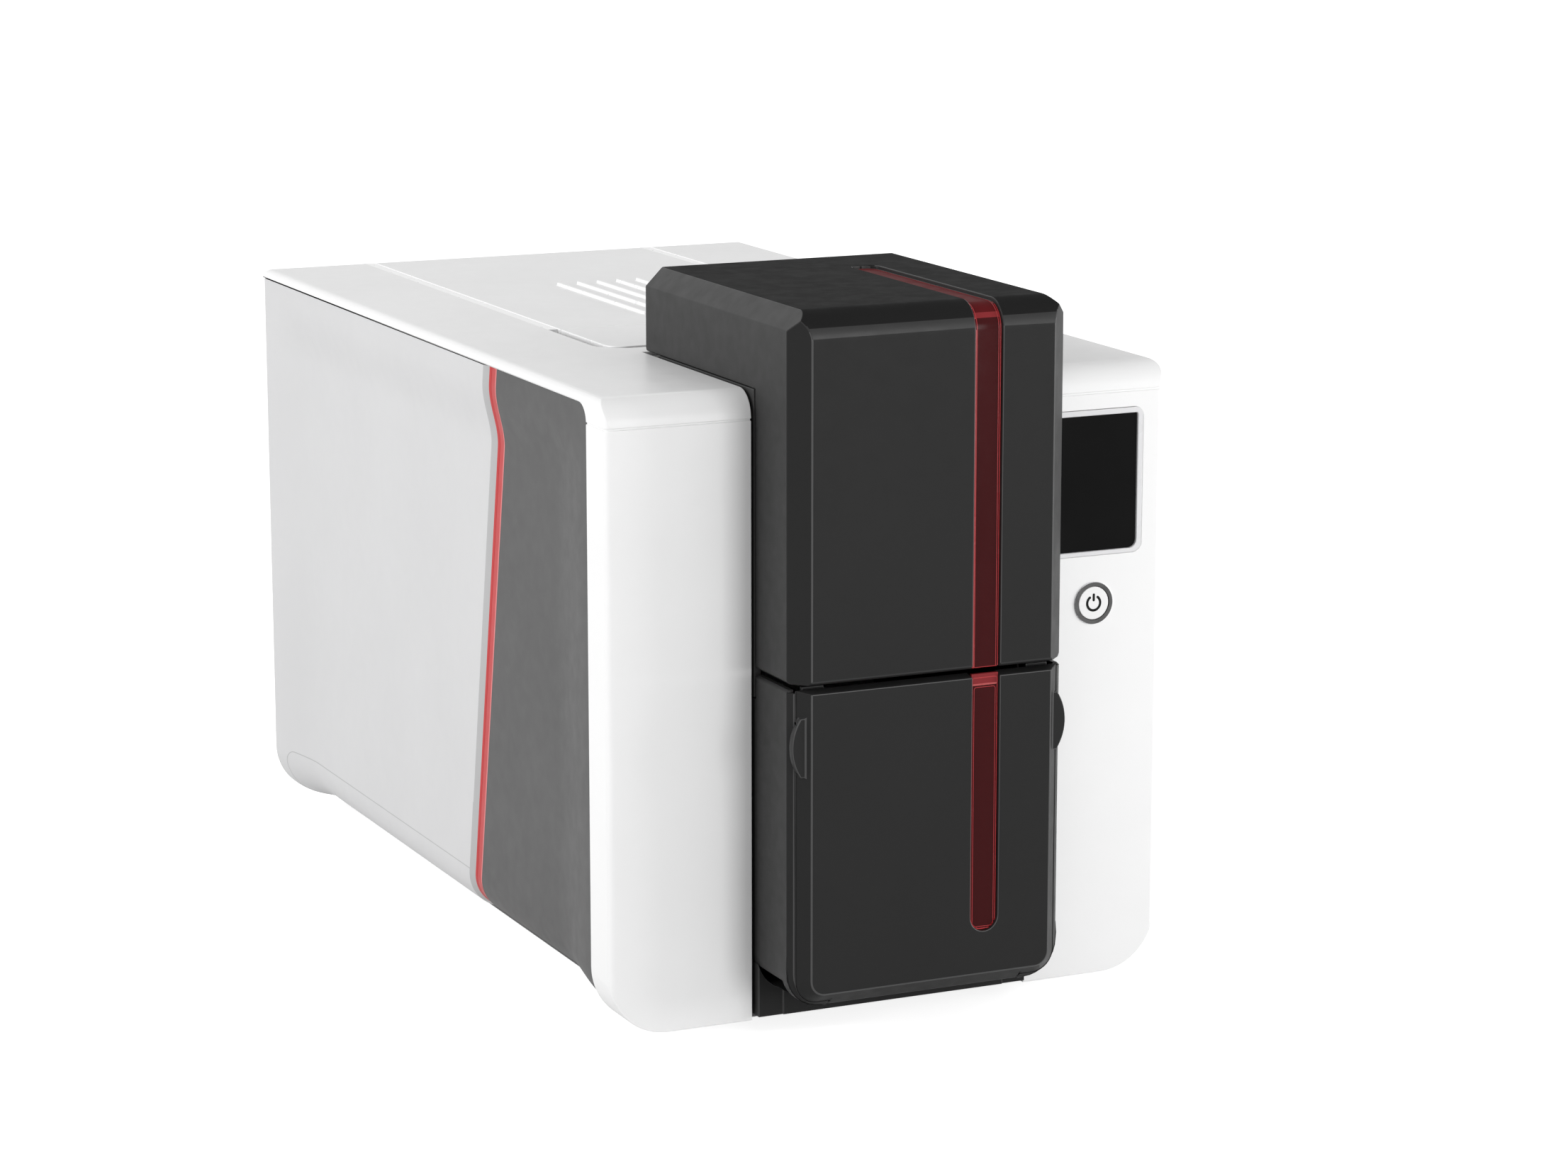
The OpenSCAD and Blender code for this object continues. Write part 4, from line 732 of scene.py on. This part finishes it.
class PRINTER_OT_white_covers(bpy.types.Operator):
    """Makes the white covers: two front fascias, the top cover, the lid, its release plate and the rear panel"""
    bl_idname = "printer.white_covers"
    bl_label = "White covers"

    def execute(self, context):
        edge = context.scene.printer_sizes.cover_edge
        for node in ("fascia_left", "fascia_right"):
            softened(node, edge)
        for node in ("top_cover", "lid", "release_plate"):
            softened(node, edge, "white_cover", "groove_white", rules=(self.in_groove,))
        softened("rear_panel", edge * 0.7)
        self.cap_lip()
        self.well_lips()
        return {"FINISHED"}

    @staticmethod
    def in_groove(p, n):
        """Whether a face is a wall or a rounding of the groove round the lid. These faces are painted a brighter,
        glossier white than the covers: a painted highlight.
        """
        return abs(n.z) < 0.985 and p.z > 205 and abs(p.x) < 62 and 90 < p.y < 349

    @staticmethod
    def well_lips():
        """The lips of the top cover that stand in the groove at both sides of the lid, in the same painted
        highlight white.
        """
        _, x, front, back, _, _ = span("lid")
        top, y0, y1 = span("top_cover")[5] - 0.25, front + 2, back - 1.5
        bm = bmesh.new()
        for side in (-1, 1):
            inner, outer = side * (x + LIP_PLAY), side * (x + WELL_GROOVE + LIP_SINK)
            plan = [(inner, y0), (outer, y0), (outer, y1), (inner, y1)]
            prism(bm, [at(px, py, top - 6) for px, py in plan], [at(px, py, top) for px, py in plan])
        fitting("well_lips", bm, body_of("top_cover"), "groove_white", "white_cover")

    @staticmethod
    def cap_lip():
        """The lip of the top cover that shows deep in the seam above each fascia."""
        x0, x1, _, back, _, z = span("fascia_left")
        depth, back = 0.35, back - 0.5

        def corner(r, inset):
            turn = [math.radians(90 * i / 6) for i in range(7)]
            return [(x0 + inset + r - r * math.cos(a), inset + r - r * math.sin(a)) for a in turn]

        plan = ([(x0 + depth, back)] + corner(1.85, depth) + [(x1 - 0.4, depth), (x1 - 0.4, depth + 1)]
                + list(reversed(corner(0.85, depth + 1))) + [(x0 + depth + 1, back)])
        bm = bmesh.new()
        for side in (1, -1):
            prism(bm, [at(side * x, y, z - LIP_SINK) for x, y in plan],
                  [at(side * x, y, z + SEAM + LIP_SINK) for x, y in plan])
        fitting("cap_lip", bm, body_of("top_cover"), "white_cover", "white_cover")


class PRINTER_OT_side_panels(bpy.types.Operator):
    """Makes the dished side panels with their two-facet red stripe, smooth where the solids are coarse"""
    bl_idname = "printer.side_panels"
    bl_label = "Side panels and stripe"

    def execute(self, context):
        sizes = context.scene.printer_sizes
        rows = panel_rows(sizes.panel_rows)
        quarter, half = sizes.panel_columns // 4, sizes.panel_columns // 2

        def dark_y(z, t):
            return lerp(PANEL_FRONT, stripe_at(z) - GAP, t)

        def stripe_y(z, t):
            return stripe_at(z) + STRIPE * t

        def light_y(z, t):
            return lerp(stripe_at(z) + STRIPE + GAP, PANEL_BACK, t)

        # shares of each panel's length, close together on its slopes and on the light panel's border
        dark = [0.0, 0.01, 0.02] + [0.025 + 0.55 * i / 32 for i in range(33)] + [0.8, 0.99, 1.0]
        light = ([0.0, 0.005, 0.010, 0.015, 0.0205, 0.022]
                 + [0.022 + (0.8 - 0.022) * i / quarter for i in range(1, quarter + 1)]
                 + [0.8 + 0.2 * i / half for i in range(1, half + 1)])
        for side, mirror in (("left", False), ("right", True)):
            for node, columns, y_of, keys in (
                (f"panel_{side}_front", dark, dark_y, ("dark_grey_panel",)),
                # the stripe's front facet takes the painted highlight red, its rear facet the plain red
                (f"stripe_{side}", [0.0, 0.5, 1.0], stripe_y, ("stripe_red_light", "stripe_red")),
                (f"panel_{side}_rear", light, light_y, ("light_grey_panel",)),
            ):
                bm = skin_mesh(rows, columns, y_of, len(keys))
                if node.endswith("front"):
                    self.round_corner(bm)
                if node.endswith("rear"):
                    self.paint_border(bm)
                if mirror:
                    mirrored(bm)
                o = piece(f"{node}_skin", bm, "housing", *keys, "seam_shadow", "stripe_red", "border_grey",
                          slot=slot_of(node), sharper=40.0)
                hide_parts(node)
            self.parting_line(side, mirror)
        return {"FINISHED"}

    @staticmethod
    def paint_border(bm):
        """Colours the light panel's front border: the last of the red, then a darker grey band, which is painted
        shade on the border's slope.
        """
        for f in bm.faces:
            c = f.calc_center_median()
            z = (c.z - UNDER_Z) / MM
            u = (c.y - FRONT_Y) / MM - stripe_at(z) - STRIPE
            if f.material_index == 0 and z > 9 and u < BORDER:
                f.material_index = 2 if u < BORDER / 4 else 3

    @staticmethod
    def parting_line(side, mirror):
        """The fine line that runs along the light panel above its roll, and turns down near the rear."""
        height, back, r = 21.8, PANEL_BACK - 10, 8.0
        down, start = PANEL_TOP - height, stripe_at(height) + STRIPE + BORDER
        end = STRAIGHT + ROLL * math.radians(80)
        places = [(down, lerp(start, back - r, i / 60)) for i in range(61)]
        places += [(down + r - r * math.cos(a), back - r + r * math.sin(a))
                   for a in (math.radians(90 * i / 8) for i in range(1, 9))]
        places += [(lerp(down + r, end, i / 20), back) for i in range(1, 21)]
        path = [panel_point(a, y, 0.0) for a, y in places]
        normals = [(panel_point(a, y, 0.0) - panel_point(a, y, 1.0)).normalized() for a, y in places]
        bm = line_on(bmesh.new(), path, normals, 0.34 * MM, 0.03 * MM, 0.3 * MM)
        if mirror:
            mirrored(bm)
        fitting(f"parting_line_{side}", bm, "housing", "parting_grey", "light_grey_panel")

    @staticmethod
    def round_corner(bm):
        """Squeezes the dark panel's square top corner onto the skirt's round one, along its own rays."""
        r = SKIRT_ROUND
        for v in bm.verts:
            y = (v.co.y - FRONT_Y) / MM - PANEL_FRONT
            d = PANEL_TOP - (v.co.z - UNDER_Z) / MM
            far = math.hypot(r - y, r - d)
            if y < r and d < r and far > 1e-6:
                k = max(r - y, r - d) / far
                v.co.y = FRONT_Y + (PANEL_FRONT + r - (r - y) * k) * MM
                v.co.z = UNDER_Z + (PANEL_TOP - r + (r - d) * k) * MM


class PRINTER_OT_tower(bpy.types.Operator):
    """Makes the black card tower: the hood, the door, the hopper's housing and the strip of the base"""
    bl_idname = "printer.tower"
    bl_label = "Card tower"

    def execute(self, context):
        edge = context.scene.printer_sizes.tower_edge
        top = span("hood")[5] - 5.0
        finishes = ("tower_black", "tower_top", "tower_front", "tower_edge")
        rules = (lambda p, n: n.z > 0.45 and abs(n.x) < 0.3 and p.z > top,
                 lambda p, n: n.y < -0.5 and n.x < 0.3 and not self.on_front_edge(n),
                 # the roundings between the front and its chamfers take the painted highlight
                 lambda p, n: self.on_front_edge(n) and (abs(n.z) < 0.1 or p.z < 118))
        softened("hood", edge, *finishes, sharper=24.0, rules=rules)
        for node, share in (("door", 1.0), ("hopper_housing", 0.8), ("front_base", 0.6)):
            softened(node, edge * share, *finishes, rules=rules)
        return {"FINISHED"}

    @staticmethod
    def on_front_edge(n):
        """Whether a direction belongs to the rounding between the front and its chamfers."""
        return n.y < -0.75 and 0.12 < math.hypot(n.x, n.z) < 0.6


HOOD_ROUND = 9.5        # rounding of the hood from its front to its top


class PRINTER_OT_windows(bpy.types.Operator):
    """Makes the two red tinted windows, with a bevelled border and bright edges"""
    bl_idname = "printer.windows"
    bl_label = "Tinted windows"

    def execute(self, context):
        width = context.scene.printer_sizes.window_bevel
        for node in ("hood_window", "door_window"):
            softened(node, width, "tinted_window", "window_edge", "window_top", "window_bend", segments=1,
                     sharper=50.0, rules=(lambda p, n: abs(n.x) > 0.5 or n.z < -0.5,
                                          lambda p, n: n.z > 0.7 and p.z > 200,
                                          lambda p, n: n.z > 0.45 and p.z > 200))
        self.border_line("hood_window_line_25", 0.25, 0.3)
        self.border_line("hood_window_line_95", 0.95, 0.22)
        self.left_line()
        self.painted_slot_wall()
        self.door_lines()
        return {"FINISHED"}

    @staticmethod
    def hood_run():
        """The hood window's sides, the radius of its bend, and where its run up and back starts and ends."""
        x0, x1, y0, y1, z0, z1 = span("hood_window")
        r = HOOD_ROUND - (span("hood")[5] - z1)
        return x0, x1, r, z0 - z1 + r, r * math.pi / 2 + y1 - y0 - r

    @classmethod
    def hood_surface(cls, x, along):
        """A place on the hood window's outside and its direction; along is 0 at the bend's lower end, in mm."""
        _, _, front, _, _, top = span("hood_window")
        r = cls.hood_run()[2]
        bend = r * math.pi / 2
        if along <= 0:
            return at(x, front, top - r + along), Vector((0, -1, 0))
        if along >= bend:
            return at(x, front + r + along - bend, top), Vector((0, 0, 1))
        c, s = math.cos(along / r), math.sin(along / r)
        return at(x, front + r - r * c, top - r + r * s), Vector((0, -c, s))

    @classmethod
    def hood_line(cls, name, places, width, key, lift=0.04, sink=0.25, slot="tinted_window"):
        """A fine line on the hood's window, through places (x, along) in mm."""
        path, normals = zip(*(cls.hood_surface(x, a) for x, a in places))
        bm = line_on(bmesh.new(), path, normals, width * MM, lift * MM, sink * MM)
        fitting(name, bm, "hood", key, slot)

    @classmethod
    def border_line(cls, name, inset, width):
        """The line inside the window's border, painted as edge glow: up its front, over the bend, round its end and
        back.
        """
        left, right, r, start, end = cls.hood_run()
        x0, x1 = left + inset, right - inset
        middle, half = (x0 + x1) / 2, (x1 - x0) / 2
        end -= half + inset
        bend = [r * math.pi / 2 * i / 10 for i in range(1, 11)]
        straight = [start + 0.4, -40.0, -10.0, 0.0] + bend + [end * 0.6, end]
        places = [(x0, a) for a in straight]
        places += [(middle - half * math.cos(q), end + half * math.sin(q))
                   for q in (math.radians(180 * i / 14) for i in range(1, 14))]
        places += [(x1, a) for a in reversed(straight)]
        cls.hood_line(name, places, width, "window_edge", lift=0.03)

    @classmethod
    def left_line(cls):
        """The line along the left edge of the hood's window, from its lower end to the bend: a painted highlight.
        """
        left, _, _, start, _ = cls.hood_run()
        places = [(left + 0.6, a) for a in (start + 0.4, -60.0, 0.0, 4.0, 8.0, 12.0)]
        cls.hood_line("hood_window_pale_line", places, 0.26, "window_line")

    @classmethod
    def painted_slot_wall(cls):
        """A strip painted as the lit wall of the hood's slot, along the right of the window on top and round its
        rear end: a painted highlight.
        """
        left, right, r, _, end = cls.hood_run()
        inset = 0.35
        middle, half = (left + right) / 2, (right - left) / 2 - inset
        bend = r * math.pi / 2
        end -= half + inset
        places = [(right - inset, a) for a in (bend * 0.75, bend * 0.9, bend, bend + 10.0, end * 0.8, end)]
        places += [(middle + half * math.cos(q), end + half * math.sin(q))
                   for q in (math.radians(120 * i / 10) for i in range(1, 11))]
        cls.hood_line("hood_slot_wall", places, 0.7, "tower_edge", lift=0.05, sink=0.2, slot="tower_black")

    @staticmethod
    def door_lines():
        """The closed fine lines on the door's window, painted as edge glow; its bright top end and the band below
        that, both painted highlights.
        """
        x0, x1, y, _, z0, z1 = span("door_window")
        bm = bmesh.new()
        for inset, top, width in ((0.3, z1 - 0.4, 0.3), (1.0, z1 - 3.6, 0.2)):
            corners = round_rect(x0 + inset, x1 - inset, z0 + inset + 0.2, top, 0.8, 4)
            path = [at(x, y, z) for x, z in corners + corners[:1]]
            line_on(bm, path, [Vector((0, -1, 0))] * len(path), width * MM, 0.03 * MM, 0.25 * MM)
        fitting("door_window_line", bm, "door", "window_edge", "tinted_window")
        a, b, low, high = x0 + 0.02, x1 - 0.02, z1 - 2.6, z1 + 0.95
        cap = [(a, low), (b, low), (b, high), (a, high)]
        band = round_rect(x0 + 0.4, x1 - 0.4, z1 - 3.0, z1 - 2.4, 0.25, 3)
        for name, outline, front, back, key in (("door_window_cap", cap, 0.02, 1.2, "window_bend"),
                                                ("door_window_band", band, 0.04, 0.2, "window_line")):
            bm = prism(bmesh.new(), [at(x, y - front, z) for x, z in outline],
                       [at(x, y + back, z) for x, z in outline])
            fitting(name, bm, "door", key, "tinted_window")


class PRINTER_OT_controls(bpy.types.Operator):
    """Makes the touch screen with its pale frame, and the power button with its ring and symbol"""
    bl_idname = "printer.controls"
    bl_label = "Screen and power button"

    def execute(self, context):
        self.screen()
        softened("power_button", context.scene.printer_sizes.cover_edge * 0.7)
        x0, x1, face, _, z0, z1 = span("power_button")
        centre = ((x0 + x1) / 2, (z0 + z1) / 2)
        self.ring(centre)
        self.symbol(centre, face)
        return {"FINISHED"}

    @staticmethod
    def screen():
        """The glass, sunk behind the inner edge of its frame."""
        x0, x1, _, _, z0, z1 = span("screen_bezel")

        def outline(inset):
            return round_rect(x0 + inset, x1 - inset, z0 + 0.76 * inset, z1 - inset, 3.5 - 0.3 * inset,
                              top=3.0 - 1.25 * inset)

        section = [(0.0, 3.3), (0.0, 0.0), (0.1, -0.08), (1.7, -0.06), (1.9, 0.1), (1.95, 0.9), (1.95, 3.3)]
        o = piece("screen_frame", ring_solid(section, outline), "housing", "bezel_grey", slot="bezel_grey",
                  sharper=30.0)
        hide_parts("screen_bezel")
        bm = prism(bmesh.new(), [at(x, 0.7, z) for x, z in outline(1.9)], [at(x, 3.0, z) for x, z in outline(1.9)])
        bmesh.ops.recalc_face_normals(bm, faces=bm.faces)
        soften(bm, 0.15 * MM, 1, 50.0)
        glass = piece("screen_glass_plate", bm, "housing", "screen_glass", slot="screen_glass")
        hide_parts("touchscreen")

    @staticmethod
    def ring(centre):
        """The dark metal ring round the button, with a fine bright outer rim."""
        outer = 7.35

        def outline(inset):
            r = outer - inset
            turn = [math.radians(5 * i) for i in range(72)]
            return [(centre[0] + r * math.cos(a), centre[1] + r * math.sin(a)) for a in turn]

        section = [(0.0, -0.02), (0.0, -0.35), (0.12, -0.48), (1.4, -0.48), (1.52, -0.36), (1.55, -0.1),
                   (1.55, 3.5), (0.4, 3.5), (0.4, -0.02)]
        bm = ring_solid(section, outline)
        place_finishes(bm, (lambda p, n: math.hypot(p.x - centre[0], p.z - centre[1]) > outer - 0.09
                            and p.y < -0.05,))
        o = piece("button_ring_metal", bm, "housing", "ring_metal", "connector_metal",
                  slot=slot_of("button_ring"), sharper=30.0)
        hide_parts("button_ring")

    @staticmethod
    def symbol(centre, face):
        """An open ring with a short bar through its gap, printed on the cap."""
        r, half, gap, steps = 2.5, 0.44, 37, 48     # radius, half of the stroke, half of the gap in degrees
        bar_low, bar_high = 0.6, 3.37
        bm = bmesh.new()

        def printed(points):
            prism(bm, [at(x, face - 0.05, z) for x, z in points], [at(x, face + 0.05, z) for x, z in points])

        def place(x, z, radius, a):
            return x + radius * math.cos(a), z + radius * math.sin(a)

        def round_end(a, start):
            """The half circle that closes the stroke at the angle a, from the direction start on."""
            return [place(*place(*centre, r, a), half, start + math.radians(t)) for t in range(15, 180, 15)]

        first, last = math.radians(90 + gap), math.radians(450 - gap)
        turn = [lerp(first, last, i / steps) for i in range(steps + 1)]
        printed([place(*centre, r + half, a) for a in turn] + round_end(last, last)
                + [place(*centre, r - half, a) for a in reversed(turn)] + round_end(first, first + math.pi))
        x, z = centre
        printed([place(x, z + bar_high - half, half, math.radians(t)) for t in range(0, 181, 15)]
                + [place(x, z + bar_low + half, half, math.radians(t)) for t in range(180, 361, 15)])
        fitting("power_symbol", bm, "button", "symbol_ink")


class PRINTER_OT_base(bpy.types.Operator):
    """Makes the base tray, the rubber feet and the screws of the rear panel"""
    bl_idname = "printer.base"
    bl_label = "Base, feet and screws"

    def execute(self, context):
        softened("base_tray", 0.25 * MM)
        softened("feet", 0.4 * MM)
        softened("rear_screws", 0.2 * MM, "turned_steel")
        return {"FINISHED"}


class PRINTER_OT_sockets(bpy.types.Operator):
    """Makes the sockets at the rear"""
    bl_idname = "printer.sockets"
    bl_label = "Rear sockets"

    def execute(self, context):
        for node in ("usb_port", "lan_port", "power_inlet"):
            softened(node, 0.15 * MM)
        return {"FINISHED"}


class PRINTER_OT_inner_frame(bpy.types.Operator):
    """Finishes the steel frame with its pins and bars"""
    bl_idname = "printer.inner_frame"
    bl_label = "Inner frame"

    def execute(self, context):
        for node in ("chassis_left", "chassis_right", "latch_bar"):
            keep(node)
        for node in ("hood_pin", "door_pin", "lid_pin", "idler_axles"):
            keep(node, "turned_steel")
        return {"FINISHED"}


class PRINTER_OT_feeder(bpy.types.Operator):
    """Makes the card feeder: magazine, card weight, thickness gauge, card guide and output tray"""
    bl_idname = "printer.feeder"
    bl_label = "Card feeder"

    def execute(self, context):
        for node in ("feeder_frame", "card_weight", "gauge_lever", "output_tray", "card_guide"):
            softened(node, 0.3 * MM)
        return {"FINISHED"}


class PRINTER_OT_rollers(bpy.types.Operator):
    """Makes the transport rollers with rubber sleeves, steel shafts and nylon gears"""
    bl_idname = "printer.rollers"
    bl_label = "Rollers and gears"

    def execute(self, context):
        for node in ("pick_roller", "feed_roller", "platen_roller", "exit_roller"):
            self.mixed(node, 3.02, "roller_rubber")
        for node in ("feed_pinch_roller", "exit_pinch_roller"):
            self.mixed(node, 2.02, "roller_rubber")
        self.mixed("cleaning_roller", 2.02, "cleaning_rubber")
        self.mixed("drive_pinion", 2.52, "gear_nylon")
        for node in ("idler_gear_1", "idler_gear_2", "idler_gear_3"):
            softened(node, 0.12 * MM, "gear_nylon", sharper=40.0)
        return {"FINISHED"}

    @staticmethod
    def mixed(node, shaft, sleeve):
        """Steel on the shaft, nylon on the gear at the left end, the sleeve's finish on the rest."""
        off_shaft = beyond(node, shaft)
        softened(node, 0.12 * MM, "turned_steel", "gear_nylon", sleeve, sharper=40.0,
                 rules=(lambda p, n: p.x < -67 and off_shaft(p),
                        lambda p, n: abs(p.x) < 31 and off_shaft(p)))


class PRINTER_OT_ribbon(bpy.types.Operator):
    """Makes the ribbon's spools, the ribbon pinion, the head carrier and the print head"""
    bl_idname = "printer.ribbon"
    bl_label = "Ribbon and print head"

    def execute(self, context):
        for node in ("supply_spool", "takeup_spool"):
            on_roll = beyond(node, 9.2)
            softened(node, 0.15 * MM, "spool_nylon", "ribbon_film", sharper=40.0,
                     rules=(lambda p, n: abs(p.x) < 29.5 and on_roll(p),))
        PRINTER_OT_rollers.mixed("ribbon_pinion", 2.02, "gear_nylon")
        softened("head_carrier", 0.4 * MM)
        softened("print_head", 0.2 * MM, "frame_steel", "heater_glaze",
                 rules=(lambda p, n: p.z < 128.9 and abs(p.x) < 28,))
        return {"FINISHED"}


class PRINTER_OT_electronics(bpy.types.Operator):
    """Makes the main board with its chips and capacitors, and the two motors"""
    bl_idname = "printer.electronics"
    bl_label = "Board and motors"

    def execute(self, context):
        softened("main_board", 0.1 * MM, "board_green", "chip_black", "can_silver",
                 rules=(lambda p, n: 67.7 < p.x < 70 and p.z < 120,
                        lambda p, n: p.x > 67.7 and p.z > 120))
        for node in ("drive_motor", "ribbon_motor"):
            softened(node, 0.3 * MM, "frame_steel")
        return {"FINISHED"}


PIECES = (
    PRINTER_OT_white_covers, PRINTER_OT_side_panels, PRINTER_OT_tower, PRINTER_OT_windows, PRINTER_OT_controls,
    PRINTER_OT_base, PRINTER_OT_sockets, PRINTER_OT_inner_frame, PRINTER_OT_feeder, PRINTER_OT_rollers,
    PRINTER_OT_ribbon, PRINTER_OT_electronics,
)


class PRINTER_PT_dressing(bpy.types.Panel):
    """Lists the sizes, the colours and the pieces of the card printer"""
    bl_idname = "PRINTER_PT_dressing"
    bl_label = "Card printer"
    bl_space_type = "VIEW_3D"
    bl_region_type = "UI"
    bl_category = "Card printer"

    def draw(self, context):
        layout = self.layout
        scene = context.scene
        for heading, group in (("Sizes", scene.printer_sizes), ("Colours", scene.printer_colours)):
            box = layout.box()
            box.label(text=heading)
            for key in group.__annotations__:
                box.prop(group, key)
        box = layout.box()
        box.label(text="Pieces")
        for op in (PRINTER_OT_stage, *PIECES):
            box.operator(op.bl_idname, text=op.bl_label)


CLASSES = (PrinterSizes, PrinterColours, PRINTER_OT_stage, *PIECES, PRINTER_PT_dressing)


def register():
    for c in CLASSES:
        bpy.utils.register_class(c)
    bpy.types.Scene.printer_sizes = PointerProperty(type=PrinterSizes)
    bpy.types.Scene.printer_colours = PointerProperty(type=PrinterColours)


def unregister():
    del bpy.types.Scene.printer_colours
    del bpy.types.Scene.printer_sizes
    for c in reversed(CLASSES):
        bpy.utils.unregister_class(c)


def main():
    register()
    bpy.ops.printer.stage()
    bpy.ops.printer.white_covers()
    bpy.ops.printer.side_panels()
    bpy.ops.printer.tower()
    bpy.ops.printer.windows()
    bpy.ops.printer.controls()
    bpy.ops.printer.base()
    bpy.ops.printer.sockets()
    bpy.ops.printer.inner_frame()
    bpy.ops.printer.feeder()
    bpy.ops.printer.rollers()
    bpy.ops.printer.ribbon()
    bpy.ops.printer.electronics()


if __name__ == "__main__":
    main()
